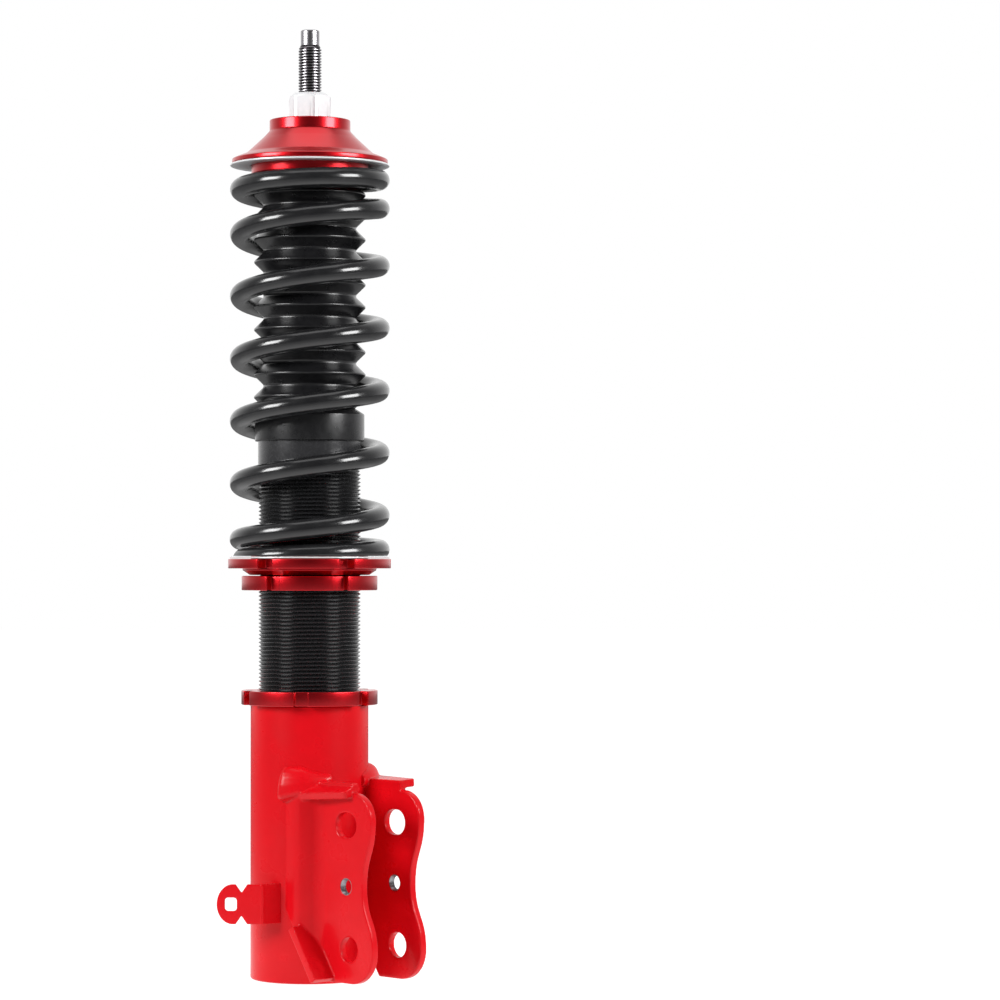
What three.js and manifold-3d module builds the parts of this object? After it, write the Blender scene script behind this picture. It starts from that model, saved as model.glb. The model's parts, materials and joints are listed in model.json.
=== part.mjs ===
// Front coilover strut: threaded monotube damper in a height-adjustable knuckle bracket.
// Millimetres, +Z up along the rod axis. The origin is the centre of the bracket's lower end.
// The knuckle ears point along +X and their bolts run along Y.
import * as THREE from 'three'
import { mergeVertices } from 'three/addons/utils/BufferGeometryUtils.js'
import Module from 'manifold-3d'

const wasm = await Module()
wasm.setup()

// ---- driving dimensions ----------------------------------------------------

// clearances
const gap = 0.3 // between pieces that touch or slide on each other
const springToPilot = 0.6 // radial room between the spring and the pilots that centre it
const bootToSpring = 1.6 // radial room between the boot's folds and the spring

// facets
const bigFacets = 32
const smallFacets = 20
const bootFacets = 24

// lower bracket
const bracketWall = 3.7
const bracketLength = 141.3
const basePlateThickness = 4
const lowerEdgeRound = 1.2

// damper body
const threadRadius = 26.5
const threadPitch = 2
const collarStep = 0.3 // how much the smooth collar above the thread stands proud of it
const bodyWall = 4.5
const bodyBottomZ = 25
const bodyLength = 265
const bodyEdge = 1 // bevels at the ends of the thread
const collarEdge = 0.8
const collarLength = 26
const basePlugLength = 12
const fillScrewRadius = 3
const fillScrewHeadRadius = 5.4
const fillScrewHeadHeight = 4.2
const fillScrewSeatDepth = 5
const fillScrewKeyFlats = 5
const fillScrewKeyDepth = 2.5

// rod
const rodRadius = 10
const rodSpigotRadius = 5
const rodThreadRadius = 6
const rodTipRadius = 4.85
const rodThreadLength = 56.3
const rodTipLength = 8
const rodTipEdge = 0.8

// spring
const springToThread = 4.5 // radial room between the spring and the body's thread
const wireRadius = 5.25
const springLength = 202.2
const springTurns = 7.75
const springStartAngle = 157 // where the wire ends at the top, degrees about Z
const topClosedTurns = 0.75 // at the closed ends the pitch is the wire's own thickness
const topOpeningTurns = 1.9
const bottomClosedTurns = 0.9
const bottomOpeningTurns = 0.85
const topEndDepth = 3.5 // from the ground end face in to the centre of the wire's end
const bottomEndDepth = -1.4
const wireSides = 6
const stepsPerTurn = 15

// threaded rings and perch
const lockRingWall = 8.5
const lockRingHeight = 7.4
const ringBevel = 0.5
const bracketRingLift = 0.3
const exposedThread = 51.8 // between the bracket ring and the perch ring
const notchCount = 6
const notchWidth = 7.2
const notchDepth = 4.4
const perchGap = 0.5
const perchHubHeight = 3.4
const perchHubWall = 8
const perchHubTaper = 3.8
const perchFlangeHeight = 4.9
const perchFlangeOverhang = 0.8 // beyond the spring's outside
const perchNotchWidth = 8.5
const pilotHeight = 6
const pilotWall = 3.2
const bracketRingNotchAngle = -48.5
const perchRingNotchAngle = -73.3
const perchNotchAngle = -74

// slip washers
const slipWasherThickness = 0.9
const slipWasherInset = 0.1

// upper spring seat
const seatRimHeight = 3.4
const seatRimOverhang = -1
const seatShoulderStep = 0.3 // the shoulder's radius beyond the pilot's
const seatShoulderRise = 6.8
const seatNeckStep = 9.4 // the neck's radius inside the pilot's
const seatNeckRise = 17
const seatHeight = 22.8
const seatWebRise = 5.7 // from the flange to the underside of the web
const nutRecessRadius = 13.5
const nutRecessDepth = 3.5

// top nut
const nutAcrossFlats = 20
const nutHeight = 14.9
const nutChamfer = 2.2
const nutCrownInset = 2.4
const rodWasherThickness = 2
const rodWasherRadius = 12.6

// dust boot and bump stop
const bootWall = 1.3
const bootCuffLength = 17
const bootCuffOverlap = 12 // how far the cuff covers the body
const bootFoldDepth = 6
const bootFolds = 10
const bootNeckLength = 10
const bumpStopLength = 43.5
const bumpStopRadius = 17
const bumpStopWaist = 2.5
const bumpStopLobes = 3
const bumpStopLean = 1.4 // each lobe is this much smaller in radius than the one above

// valve and seals
const pistonLength = 14
const pistonToBore = 0.8
const bandWidth = 7
const bandThickness = 1.7
const portCount = 6
const portRadius = 2.2
const shimStackHeight = 1.6
const shimRadius = 16
const shimStep = 4 // how much smaller in radius the outer shims are
const pistonNutHeight = 7
const pistonNutAcrossFlats = 17
const topOutHeight = 9.4
const topOutWall = 6
const guideLength = 20
const bushWall = 1.7
const bushLength = 16
const oRingRadius = 0.9
const oRingDepth = 2.4
const rodSealWall = 5.7
const rodSealHeight = 6.6
const glandLength = 20
const glandFlange = 2.7
const glandRimStep = 1 // how far the gland's flange stands inside the collar
const glandBevel = 0.6
const spannerHoleCount = 4
const spannerHoleRadius = 1.6
const spannerHoleDepth = 4
const spannerHoleCircle = 19
const wiperWall = 3
const wiperHeight = 7
const wiperLip = 0.8
const floatingPistonZ = 60
const floatingPistonLength = 15
const floatingPistonDish = 6
const floatingPistonRim = 6
const floatingPistonTaper = 2

// knuckle ears
const earGap = 29
const earThickness = 4.1
const upperHoleReach = 18.8 // reaches are measured outboard from the tube's surface
const upperHoleZ = 82.4
const middleHoleZ = 51.4
const lowerHoleReach = 21
const lowerHoleZ = 19.8
const boltHoleRadius = 6.4
const camberSlot = 2.6 // how much longer than it is high the upper hole is
const middleHoleRadius = 4.25
const earTopZ = 98.9
const earBottomZ = 2.6
const earUpperReach = 37.5
const earWaistReach = 31
const earLowerReach = 39
const earUpperCorner = 14
const earLowerCorner = 16
const wrapStartAngle = -67
const wrapEndAngle = -33
const wrapTopZ = 100
const topFlangeReach = 23.5
const topFlangeRise = 4.9
const topFlangeEndWidth = 6
const topFlangeRootX = 11
const nearFlangeDroop = 24
const farFlangeDroop = -4
const reliefRadius = 1.6
const earRootSink = 2 // how far the plate runs into the tube before it is trimmed to it
const braceFootReach = 7
const braceAngle = 124 // direction of the lower brace in the XZ plane, degrees
const braceLength = 31
const braceReach = 13.4

// brake line tab
const tabThickness = 2.4
const tabBottomZ = 31
const tabTopZ = 51.3
const tabFootAngle = -72
const tabLegLength = 10.2
const tabLegHeading = -97
const tabPlateLength = 23
const tabPlateHeading = -136
const tabSlotWidth = 6.2
const tabSlotHeight = 6.8
const tabSlotFromTip = 7.2
const tabNotchFromTip = 12.6
const tabNotchDepth = 4.4
const tabNotchHalfWidth = 3
const tabNose = 0.8 // the nose's length as a share of the plate's half height
const tabSlotCorner = 1

// ---- levels and radii that follow --------------------------------------------

const bracketBoreRadius = threadRadius + gap
const bracketRadius = bracketBoreRadius + bracketWall
const threadClearRadius = threadRadius + gap

const collarRadius = threadRadius + collarStep
const bodyBoreRadius = threadRadius - bodyWall
const lockRingRadius = threadClearRadius + lockRingWall
const perchHubRadius = threadClearRadius + perchHubWall
const springInnerRadius = threadRadius + springToThread

const bracketRingZ = bracketLength + bracketRingLift
const perchRingZ = bracketRingZ + lockRingHeight + exposedThread
const perchZ = perchRingZ + lockRingHeight + perchGap
const perchFlangeZ = perchZ + perchHubHeight
const perchTopZ = perchFlangeZ + perchFlangeHeight
const lowerWasherZ = perchTopZ + gap
const springBottomZ = lowerWasherZ + slipWasherThickness + gap
const springTopZ = springBottomZ + springLength
const upperWasherZ = springTopZ + gap
const seatZ = upperWasherZ + slipWasherThickness + gap
const seatWebZ = seatZ + seatWebRise
const seatTopZ = seatZ + seatHeight

const springMeanRadius = springInnerRadius + wireRadius
const springOuterRadius = springInnerRadius + 2 * wireRadius
const pilotRadius = springInnerRadius - springToPilot
const perchFlangeRadius = springOuterRadius + perchFlangeOverhang
const seatRimRadius = springOuterRadius + seatRimOverhang
const seatShoulderRadius = pilotRadius + seatShoulderStep
const seatNeckRadius = pilotRadius - seatNeckStep
const slipWasherInner = pilotRadius + gap
const slipWasherOuter = springOuterRadius - slipWasherInset

const bodyTopZ = bodyBottomZ + bodyLength
const threadTopZ = bodyTopZ - collarLength
const boreFit = bodyBoreRadius - gap
const rodClear = rodRadius + gap

const glandZ = bodyTopZ - glandLength
const guideTopZ = glandZ - gap
const guideZ = guideTopZ - guideLength
const topOutZ = guideZ - gap - topOutHeight
const rodShoulderZ = topOutZ - gap
const upperShimZ = rodShoulderZ - gap - shimStackHeight
const pistonZ = upperShimZ - gap - pistonLength
const lowerShimZ = pistonZ - gap - shimStackHeight
const pistonNutZ = lowerShimZ - gap - pistonNutHeight
const rodBottomZ = pistonNutZ - 1

const rodSeatZ = seatWebZ - gap
const rodThreadTopZ = rodSeatZ + rodThreadLength
const rodTopZ = rodThreadTopZ + rodTipLength
const rodWasherZ = seatTopZ - nutRecessDepth + gap
const topNutZ = rodWasherZ + rodWasherThickness + gap

const bootPeakRadius = springInnerRadius - bootToSpring
const bootValleyRadius = bootPeakRadius - bootFoldDepth
const bootBottomZ = bodyTopZ - bootCuffOverlap
const bootFoldsZ = bootBottomZ + bootCuffLength
const bootTopZ = seatZ - gap
const bootNeckRadius = pilotRadius - pilotWall - 2 * gap
const bumpStopTopZ = rodSeatZ - gap
const bumpStopZ = bumpStopTopZ - bumpStopLength

const earInnerY = earGap / 2
const earOuterY = earInnerY + earThickness
const upperHoleX = bracketRadius + upperHoleReach
const lowerHoleX = bracketRadius + lowerHoleReach
const earUpperX = bracketRadius + earUpperReach
const earWaistX = bracketRadius + earWaistReach
const earLowerX = bracketRadius + earLowerReach
const topFlangeEndX = bracketRadius + topFlangeReach
const braceFootX = bracketRadius + braceFootReach

// ---- shape helpers -----------------------------------------------------------

const toRad = THREE.MathUtils.degToRad

// A closed profile of [radius, height] points turned about Z.
function turned(points, facets = bigFacets) {
  const profile = points.map(([r, z]) => new THREE.Vector2(r, z))
  profile.push(profile[0].clone())
  const geometry = new THREE.LatheGeometry(profile, facets)
  geometry.rotateX(Math.PI / 2)
  return welded(geometry)
}

function tube(inner, outer, bottom, top, facets = bigFacets) {
  return turned([[inner, bottom], [outer, bottom], [outer, top], [inner, top]], facets)
}

// Merge shared vertices, drop empty triangles and turn the faces outwards.
function welded(source) {
  const bare = source.clone()
  bare.deleteAttribute('normal')
  bare.deleteAttribute('uv')
  const merged = mergeVertices(bare, 1e-4)
  const place = merged.attributes.position
  const index = []
  let volume = 0
  const a = new THREE.Vector3()
  const b = new THREE.Vector3()
  const c = new THREE.Vector3()
  for (let i = 0; i < merged.index.count; i += 3) {
    const [p, q, r] = [merged.index.getX(i), merged.index.getX(i + 1), merged.index.getX(i + 2)]
    if (p === q || q === r || r === p) continue
    index.push(p, q, r)
    a.fromBufferAttribute(place, p)
    b.fromBufferAttribute(place, q)
    c.fromBufferAttribute(place, r)
    volume += a.dot(b.cross(c))
  }
  merged.setIndex(volume < 0 ? index.reverse() : index)
  return merged
}

function toSolid(geometry) {
  const ready = welded(geometry)
  return new wasm.Manifold(new wasm.Mesh({
    numProp: 3,
    vertProperties: new Float32Array(ready.attributes.position.array),
    triVerts: new Uint32Array(ready.index.array)
  }))
}

function fromSolid(solid) {
  const mesh = solid.getMesh()
  const geometry = new THREE.BufferGeometry()
  geometry.setAttribute('position', new THREE.BufferAttribute(mesh.vertProperties, 3))
  geometry.setIndex(new THREE.BufferAttribute(mesh.triVerts, 1))
  geometry.computeVertexNormals()
  return geometry
}

function cut(base, tools) {
  let solid = toSolid(base)
  for (const tool of tools) solid = solid.subtract(toSolid(tool))
  return fromSolid(solid)
}

function cylinder(radius, bottom, top, facets = smallFacets) {
  const geometry = new THREE.CylinderGeometry(radius, radius, top - bottom, facets)
  geometry.rotateX(Math.PI / 2)
  geometry.translate(0, 0, (bottom + top) / 2)
  return geometry
}

// A shape in a vertical XZ plane, with its thickness from y to y + depth.
function upright(shape, y, depth, curveSegments = 8) {
  const geometry = new THREE.ExtrudeGeometry(shape, { depth, bevelEnabled: false, curveSegments })
  geometry.rotateX(Math.PI / 2)
  geometry.translate(0, y + depth, 0)
  return geometry
}

// A shape in the XY plane, standing from bottom to top.
function standing(shape, bottom, top, curveSegments = 8) {
  const geometry = new THREE.ExtrudeGeometry(shape, {
    depth: top - bottom, bevelEnabled: false, curveSegments
  })
  geometry.translate(0, 0, bottom)
  return geometry
}

function polygon(points) {
  return new THREE.Shape(points.map(([x, y]) => new THREE.Vector2(x, y)))
}

// Blocks that cut equal notches into the rim of a ring.
function notchBlocks(outer, depth, width, bottom, top, firstAngle) {
  const blocks = []
  for (let i = 0; i < notchCount; i++) {
    const block = new THREE.BoxGeometry(depth * 2, width, top - bottom + 2)
    block.translate(outer, 0, (bottom + top) / 2)
    block.rotateZ(toRad(firstAngle + i * 360 / notchCount))
    blocks.push(block)
  }
  return blocks
}

function bevelledRing(inner, outer, bottom, top, bevel) {
  return turned([
    [inner, bottom], [outer - bevel, bottom], [outer, bottom + bevel],
    [outer, top - bevel], [outer - bevel, top], [inner, top]
  ])
}

function oRing(centreRadius, z) {
  const ring = new THREE.TorusGeometry(centreRadius, oRingRadius, 6, smallFacets)
  ring.translate(0, 0, z)
  return ring
}

// A hexagon across the given flats, from bottom to top.
function hexagon(acrossFlats, bottom, top) {
  const corner = acrossFlats / 2 / Math.cos(Math.PI / 6)
  const points = []
  for (let i = 0; i < 6; i++) {
    points.push([corner * Math.cos(i * Math.PI / 3), corner * Math.sin(i * Math.PI / 3)])
  }
  return standing(polygon(points), bottom, top)
}

// ---- lower bracket -------------------------------------------------------------

function bracketTube() {
  return turned([
    [bracketBoreRadius, 0], [bracketRadius - lowerEdgeRound, 0], [bracketRadius, lowerEdgeRound],
    [bracketRadius, bracketLength], [bracketBoreRadius, bracketLength]
  ])
}

function basePlate() {
  return cylinder(bracketBoreRadius - gap, 0, basePlateThickness, bigFacets)
}

// The outline of an ear, from the brace's foot round both lobes to the top flange.
function earOutline() {
  const shape = new THREE.Shape()
  const rootX = Math.sqrt(bracketRadius ** 2 - earOuterY ** 2) - earRootSink
  const upperCentre = [earUpperX - earUpperCorner, earTopZ - earUpperCorner]
  const lowerCentre = [earLowerX - earLowerCorner, earBottomZ + earLowerCorner]
  const waistZ = middleHoleZ
  const pull = (upperCentre[1] - waistZ) / 2
  const lowerPull = (waistZ - lowerCentre[1]) / 2
  shape.moveTo(braceFootX, earBottomZ)
  shape.lineTo(lowerCentre[0], earBottomZ)
  shape.absarc(lowerCentre[0], lowerCentre[1], earLowerCorner, -Math.PI / 2, 0, false)
  shape.bezierCurveTo(
    earLowerX, lowerCentre[1] + lowerPull, earWaistX, waistZ - lowerPull, earWaistX, waistZ)
  shape.bezierCurveTo(
    earWaistX, waistZ + pull, earUpperX, upperCentre[1] - pull, earUpperX, upperCentre[1])
  shape.absarc(upperCentre[0], upperCentre[1], earUpperCorner, 0, Math.PI / 2, false)
  shape.lineTo(topFlangeEndX, earTopZ + topFlangeRise)
  shape.lineTo(rootX, earTopZ + topFlangeRise)
  const climb = (braceFootX - rootX) * Math.tan(toRad(180 - braceAngle))
  shape.lineTo(rootX, earBottomZ + climb)
  return shape
}

// A hole along Y through both faces of an ear; stretch makes it a slot along X.
function earHole(x, z, radius, stretch = 0) {
  const shape = new THREE.Shape()
  shape.absarc(x + stretch / 2, z, radius, -Math.PI / 2, Math.PI / 2, false)
  shape.absarc(x - stretch / 2, z, radius, Math.PI / 2, Math.PI * 1.5, false)
  return upright(shape, earInnerY - 1, earThickness + 2, 10)
}

// The stretch of the ear plate that lies round the tube.
function earWrap() {
  const inner = bracketRadius + gap
  const outer = inner + earThickness
  const shape = new THREE.Shape()
  shape.absarc(0, 0, outer, toRad(-wrapEndAngle), toRad(-wrapStartAngle), false)
  shape.absarc(0, 0, inner, toRad(-wrapStartAngle), toRad(-wrapEndAngle), true)
  return standing(shape, earBottomZ, wrapTopZ, 6)
}

function topFlange(droop) {
  const shape = polygon([
    [topFlangeRootX, 0], [topFlangeEndX, 0],
    [topFlangeEndX, topFlangeEndWidth + earThickness],
    [topFlangeRootX, bracketRadius - earInnerY]
  ])
  const flange = standing(shape, -earThickness, 0)
  flange.rotateX(-toRad(droop))
  flange.translate(0, earInnerY, earTopZ + topFlangeRise)
  return flange
}

function lowerBrace() {
  const brace = new THREE.BoxGeometry(braceLength, braceReach + earThickness, earThickness)
  brace.translate(braceLength / 2, 0, -earThickness / 2)
  brace.rotateY(-toRad(braceAngle))
  brace.translate(braceFootX, earInnerY + (braceReach + earThickness) / 2, earBottomZ)
  return brace
}

// The part of the wrap below the brace is cut away.
function belowBrace() {
  const block = new THREE.BoxGeometry(4 * braceLength, 3 * bracketRadius, 2 * braceLength)
  block.translate(0, 0, braceLength)
  block.rotateY(-toRad(braceAngle))
  block.translate(braceFootX, 0, earBottomZ)
  return block
}

// The ear on the +Y side; side = -1 mirrors it.
function knuckleEar(side, droop) {
  const low = toSolid(belowBrace())
  const wrap = toSolid(earWrap()).subtract(low)
  let ear = toSolid(upright(earOutline(), earInnerY, earThickness, 9)).add(wrap)
  ear = ear.add(toSolid(topFlange(droop))).add(toSolid(lowerBrace()))
  const relief = upright(new THREE.Shape().absarc(
    topFlangeEndX + reliefRadius * 0.6, earTopZ + reliefRadius * 0.4, reliefRadius, 0, 2 * Math.PI, false),
  earInnerY - 12, 40, 6)
  const holes = [
    earHole(upperHoleX, upperHoleZ, boltHoleRadius, camberSlot),
    earHole(upperHoleX, middleHoleZ, middleHoleRadius),
    earHole(lowerHoleX, lowerHoleZ, boltHoleRadius),
    relief,
    cylinder(bracketRadius + gap, -20, bracketLength, bigFacets)
  ]
  for (const hole of holes) ear = ear.subtract(toSolid(hole))
  ear = ear.subtract(toSolid(new THREE.BoxGeometry(400, 400, 40).translate(0, 0, -20)))
  const geometry = fromSolid(ear)
  if (side < 0) geometry.scale(1, -1, 1)
  return welded(geometry)
}

// The tab stands off the tube on a short leg, then turns to a slotted plate.
function brakeLineTab() {
  const foot = new THREE.Vector2(
    Math.cos(toRad(tabFootAngle)), Math.sin(toRad(tabFootAngle))).multiplyScalar(bracketRadius)
  const legAlong = new THREE.Vector2(Math.cos(toRad(tabLegHeading)), Math.sin(toRad(tabLegHeading)))
  const elbow = foot.clone().addScaledVector(legAlong, tabLegLength)
  const leg = new THREE.BoxGeometry(tabLegLength + tabThickness, tabThickness, tabTopZ - tabBottomZ)
  leg.rotateZ(toRad(tabLegHeading))
  const legMiddle = foot.clone().addScaledVector(legAlong, tabLegLength / 2)
  leg.translate(legMiddle.x, legMiddle.y, (tabBottomZ + tabTopZ) / 2)

  const half = (tabTopZ - tabBottomZ) / 2
  const tip = tabPlateLength - half * tabNose
  const outline = new THREE.Shape()
  outline.moveTo(0, -half)
  outline.lineTo(tabPlateLength - tabNotchFromTip - tabNotchHalfWidth, -half)
  outline.lineTo(tabPlateLength - tabNotchFromTip, -half + tabNotchDepth)
  outline.lineTo(tabPlateLength - tabNotchFromTip + tabNotchHalfWidth, -half)
  outline.absellipse(tip, 0, half * tabNose, half, -Math.PI / 2, Math.PI / 2, false, 0)
  outline.lineTo(tabPlateLength - tabNotchFromTip + tabNotchHalfWidth, half)
  outline.lineTo(tabPlateLength - tabNotchFromTip, half - tabNotchDepth)
  outline.lineTo(tabPlateLength - tabNotchFromTip - tabNotchHalfWidth, half)
  outline.lineTo(0, half)
  const slot = new THREE.Path()
  const slotX = tabPlateLength - tabSlotFromTip
  const [sw, sh] = [tabSlotWidth / 2, tabSlotHeight / 2]
  const corner = tabSlotCorner
  slot.moveTo(slotX - sw + corner, -sh)
  slot.lineTo(slotX + sw - corner, -sh)
  slot.lineTo(slotX + sw, -sh + corner)
  slot.lineTo(slotX + sw, sh - corner)
  slot.lineTo(slotX + sw - corner, sh)
  slot.lineTo(slotX - sw + corner, sh)
  slot.lineTo(slotX - sw, sh - corner)
  slot.lineTo(slotX - sw, -sh + corner)
  slot.closePath()
  outline.holes.push(slot)
  const plate = upright(outline, -tabThickness / 2, tabThickness, 10)
  plate.rotateZ(toRad(tabPlateHeading))
  plate.translate(elbow.x, elbow.y, (tabBottomZ + tabTopZ) / 2)

  const clear = cylinder(bracketRadius + gap, 0, bracketLength, bigFacets)
  return fromSolid(toSolid(leg).add(toSolid(plate)).subtract(toSolid(clear)))
}

// ---- damper body -----------------------------------------------------------------

function bodyTube() {
  return turned([
    [bodyBoreRadius, bodyBottomZ], [threadRadius - bodyEdge, bodyBottomZ],
    [threadRadius, bodyBottomZ + bodyEdge], [threadRadius, threadTopZ - bodyEdge],
    [collarRadius, threadTopZ], [collarRadius, bodyTopZ - collarEdge],
    [collarRadius - collarEdge, bodyTopZ], [bodyBoreRadius, bodyTopZ]
  ])
}

function basePlug() {
  const bottom = bodyBottomZ + gap
  const top = bottom + basePlugLength
  const holeRadius = fillScrewRadius + gap
  const headRadius = fillScrewHeadRadius + gap
  return turned([
    [headRadius, bottom], [boreFit, bottom], [boreFit, top], [holeRadius, top],
    [holeRadius, bottom + fillScrewSeatDepth], [headRadius, bottom + fillScrewSeatDepth]
  ])
}

function fillScrew() {
  const headZ = bodyBottomZ + gap
  const headTop = headZ + fillScrewHeadHeight
  const head = turned([
    [0, headZ], [fillScrewHeadRadius, headZ], [fillScrewHeadRadius, headTop],
    [fillScrewRadius, headTop], [fillScrewRadius, headZ + basePlugLength - 1],
    [0, headZ + basePlugLength - 1]
  ], smallFacets)
  return cut(head, [hexagon(fillScrewKeyFlats, headZ - 1, headZ + fillScrewKeyDepth)])
}

function grooved(points, grooveZ) {
  const ringZone = oRingRadius + gap
  const base = turned(points)
  return cut(base, [tube(boreFit - oRingDepth, boreFit + 4, grooveZ - ringZone, grooveZ + ringZone)])
}

function rodGuide() {
  const bushRadius = rodClear + bushWall + gap
  const rim = guideZ + (guideLength - bushLength) / 2 - gap
  const lipRadius = rodClear + gap
  return grooved([
    [lipRadius, guideZ], [boreFit, guideZ], [boreFit, guideTopZ], [bushRadius, guideTopZ],
    [bushRadius, rim], [lipRadius, rim]
  ], guideZ + guideLength / 2)
}

function rodBush() {
  const bottom = guideZ + (guideLength - bushLength) / 2
  return tube(rodClear, rodClear + bushWall, bottom, bottom + bushLength, smallFacets)
}

function rodSeal() {
  const outer = rodClear + rodSealWall
  const bottom = glandZ
  const top = bottom + rodSealHeight
  return turned([
    [rodClear, bottom + 1], [rodClear + 1.2, bottom], [outer, bottom], [outer, top],
    [rodClear + 2, top], [rodClear + 1.6, top - 2.4], [rodClear, top - 3]
  ], smallFacets)
}

function glandNut() {
  const sealRadius = rodClear + rodSealWall + gap
  const sealTop = glandZ + rodSealHeight + gap
  const wiperRadius = rodClear + wiperWall + gap
  const wiperZ = bodyTopZ + glandFlange - wiperHeight - gap
  const top = bodyTopZ + gap + glandFlange
  const rim = collarRadius - glandRimStep
  const body = turned([
    [sealRadius, glandZ], [boreFit, glandZ], [boreFit, bodyTopZ + gap],
    [rim, bodyTopZ + gap], [rim, top - glandBevel], [rim - glandBevel, top],
    [wiperRadius, top], [wiperRadius, wiperZ], [rodClear + gap, wiperZ],
    [rodClear + gap, sealTop], [sealRadius, sealTop]
  ])
  const spanners = []
  for (let i = 0; i < spannerHoleCount; i++) {
    const hole = cylinder(spannerHoleRadius, top - spannerHoleDepth, top + 2, 8)
    hole.translate(spannerHoleCircle, 0, 0)
    hole.rotateZ(i * 2 * Math.PI / spannerHoleCount)
    spanners.push(hole)
  }
  return cut(body, spanners)
}

function rodWiper() {
  const bottom = bodyTopZ + glandFlange - wiperHeight
  const top = bottom + wiperHeight
  const outer = rodClear + wiperWall
  return turned([
    [rodClear + 0.6, bottom], [outer, bottom], [outer, top], [rodClear + 1.6, top + wiperLip],
    [rodClear, top + wiperLip], [rodClear, top - 1]
  ], smallFacets)
}

// Straight cuff, round folds and a neck that sits in the upper seat's pilot.
function dustBoot() {
  const cuffInner = collarRadius + gap
  const outside = [[cuffInner + bootWall, bootBottomZ], [cuffInner + bootWall, bootFoldsZ - 1.5]]
  const inside = [[cuffInner, bootBottomZ], [cuffInner, bootFoldsZ - 1.5]]
  const topOfFolds = bootTopZ - bootNeckLength
  const pitch = (topOfFolds - bootFoldsZ) / bootFolds
  for (let i = 0; i < bootFolds; i++) {
    const valley = bootFoldsZ + i * pitch
    outside.push([bootValleyRadius, valley], [bootPeakRadius, valley + pitch / 2])
    inside.push([bootValleyRadius - bootWall, valley], [bootPeakRadius - bootWall, valley + pitch / 2])
  }
  const neck = Math.min(bootNeckRadius, bootValleyRadius + 1.5)
  outside.push([bootValleyRadius, topOfFolds], [neck, topOfFolds + 2], [neck, bootTopZ])
  inside.push([bootValleyRadius - bootWall, topOfFolds], [neck - bootWall, topOfFolds + 2])
  inside.push([neck - bootWall, bootTopZ])
  return turned([...outside, ...inside.reverse()], bootFacets)
}

// ---- spring, perches and rings -------------------------------------------------

// The coil opens fast as it leaves a closed end and eases into the even pitch: the opening
// 1 - (1 - x)^3, added up over u turns.
function opened(u, length) {
  const x = Math.min(1, Math.max(0, u / length))
  return length * (x - (1 - (1 - x) ** 4) / 4) + Math.max(0, u - length)
}

// Right-handed helix, down from its top end. The pitch is the wire's thickness at both closed
// ends and opens smoothly to one even pitch between them.
class SpringLine extends THREE.Curve {
  getPoint(t, target = new THREE.Vector3()) {
    const closedPitch = 2 * wireRadius
    const travel = springLength - topEndDepth - bottomEndDepth
    const fromTop = t * springTurns
    const whole = springTurns - topClosedTurns - bottomClosedTurns -
      (topOpeningTurns + bottomOpeningTurns) / 4
    const covered = fromTop < springTurns - bottomClosedTurns - bottomOpeningTurns
      ? opened(fromTop - topClosedTurns, topOpeningTurns)
      : whole - opened(springTurns - bottomClosedTurns - fromTop, bottomOpeningTurns)
    const opening = (travel - closedPitch * springTurns) / whole
    const angle = toRad(springStartAngle) - fromTop * 2 * Math.PI
    const z = springTopZ - topEndDepth - closedPitch * fromTop - opening * covered
    return target.set(springMeanRadius * Math.cos(angle), springMeanRadius * Math.sin(angle), z)
  }
}

// Both ends are ground flat, square to the axis.
function coilSpring() {
  const section = new THREE.Shape()
  for (let i = 0; i < wireSides; i++) {
    const angle = (i + 0.5) * 2 * Math.PI / wireSides
    const [x, y] = [wireRadius * Math.cos(angle), wireRadius * Math.sin(angle)]
    if (i === 0) section.moveTo(x, y)
    else section.lineTo(x, y)
  }
  section.closePath()
  const wire = new THREE.ExtrudeGeometry(section, {
    steps: Math.round(springTurns * stepsPerTurn), bevelEnabled: false, extrudePath: new SpringLine()
  })
  const between = cylinder(springOuterRadius + wireRadius, springBottomZ, springTopZ, bigFacets)
  return fromSolid(toSolid(wire).intersect(toSolid(between)))
}

function notchedRing(bottom, firstAngle) {
  const top = bottom + lockRingHeight
  const ring = bevelledRing(threadClearRadius, lockRingRadius, bottom, top, ringBevel)
  return cut(ring, notchBlocks(lockRingRadius, notchDepth, notchWidth, bottom, top, firstAngle))
}

function lowerPerch() {
  const taperRadius = perchHubRadius - perchHubTaper
  const perch = turned([
    [threadClearRadius, perchZ], [taperRadius, perchZ], [perchHubRadius, perchFlangeZ - 0.8],
    [perchHubRadius, perchFlangeZ], [perchFlangeRadius - 0.6, perchFlangeZ],
    [perchFlangeRadius, perchFlangeZ + 0.6], [perchFlangeRadius, perchTopZ - 0.4],
    [perchFlangeRadius - 0.4, perchTopZ], [pilotRadius, perchTopZ],
    [pilotRadius, perchTopZ + pilotHeight - 1], [pilotRadius - 1, perchTopZ + pilotHeight],
    [threadClearRadius, perchTopZ + pilotHeight]
  ])
  const depth = perchFlangeRadius - perchHubRadius
  const blocks = notchBlocks(
    perchFlangeRadius, depth, perchNotchWidth, perchFlangeZ, perchTopZ, perchNotchAngle)
  return cut(perch, blocks)
}

function slipWasher(bottom) {
  return tube(slipWasherInner, slipWasherOuter, bottom, bottom + slipWasherThickness)
}

// ---- rod, valve and top ---------------------------------------------------------

function pistonRod() {
  return turned([
    [0, rodBottomZ], [rodSpigotRadius, rodBottomZ], [rodSpigotRadius, rodShoulderZ],
    [rodRadius, rodShoulderZ], [rodRadius, rodSeatZ], [rodThreadRadius, rodSeatZ],
    [rodThreadRadius, rodThreadTopZ - 1], [rodTipRadius, rodThreadTopZ],
    [rodTipRadius, rodTopZ - rodTipEdge], [rodTipRadius - rodTipEdge, rodTopZ], [0, rodTopZ]
  ], smallFacets)
}

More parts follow.
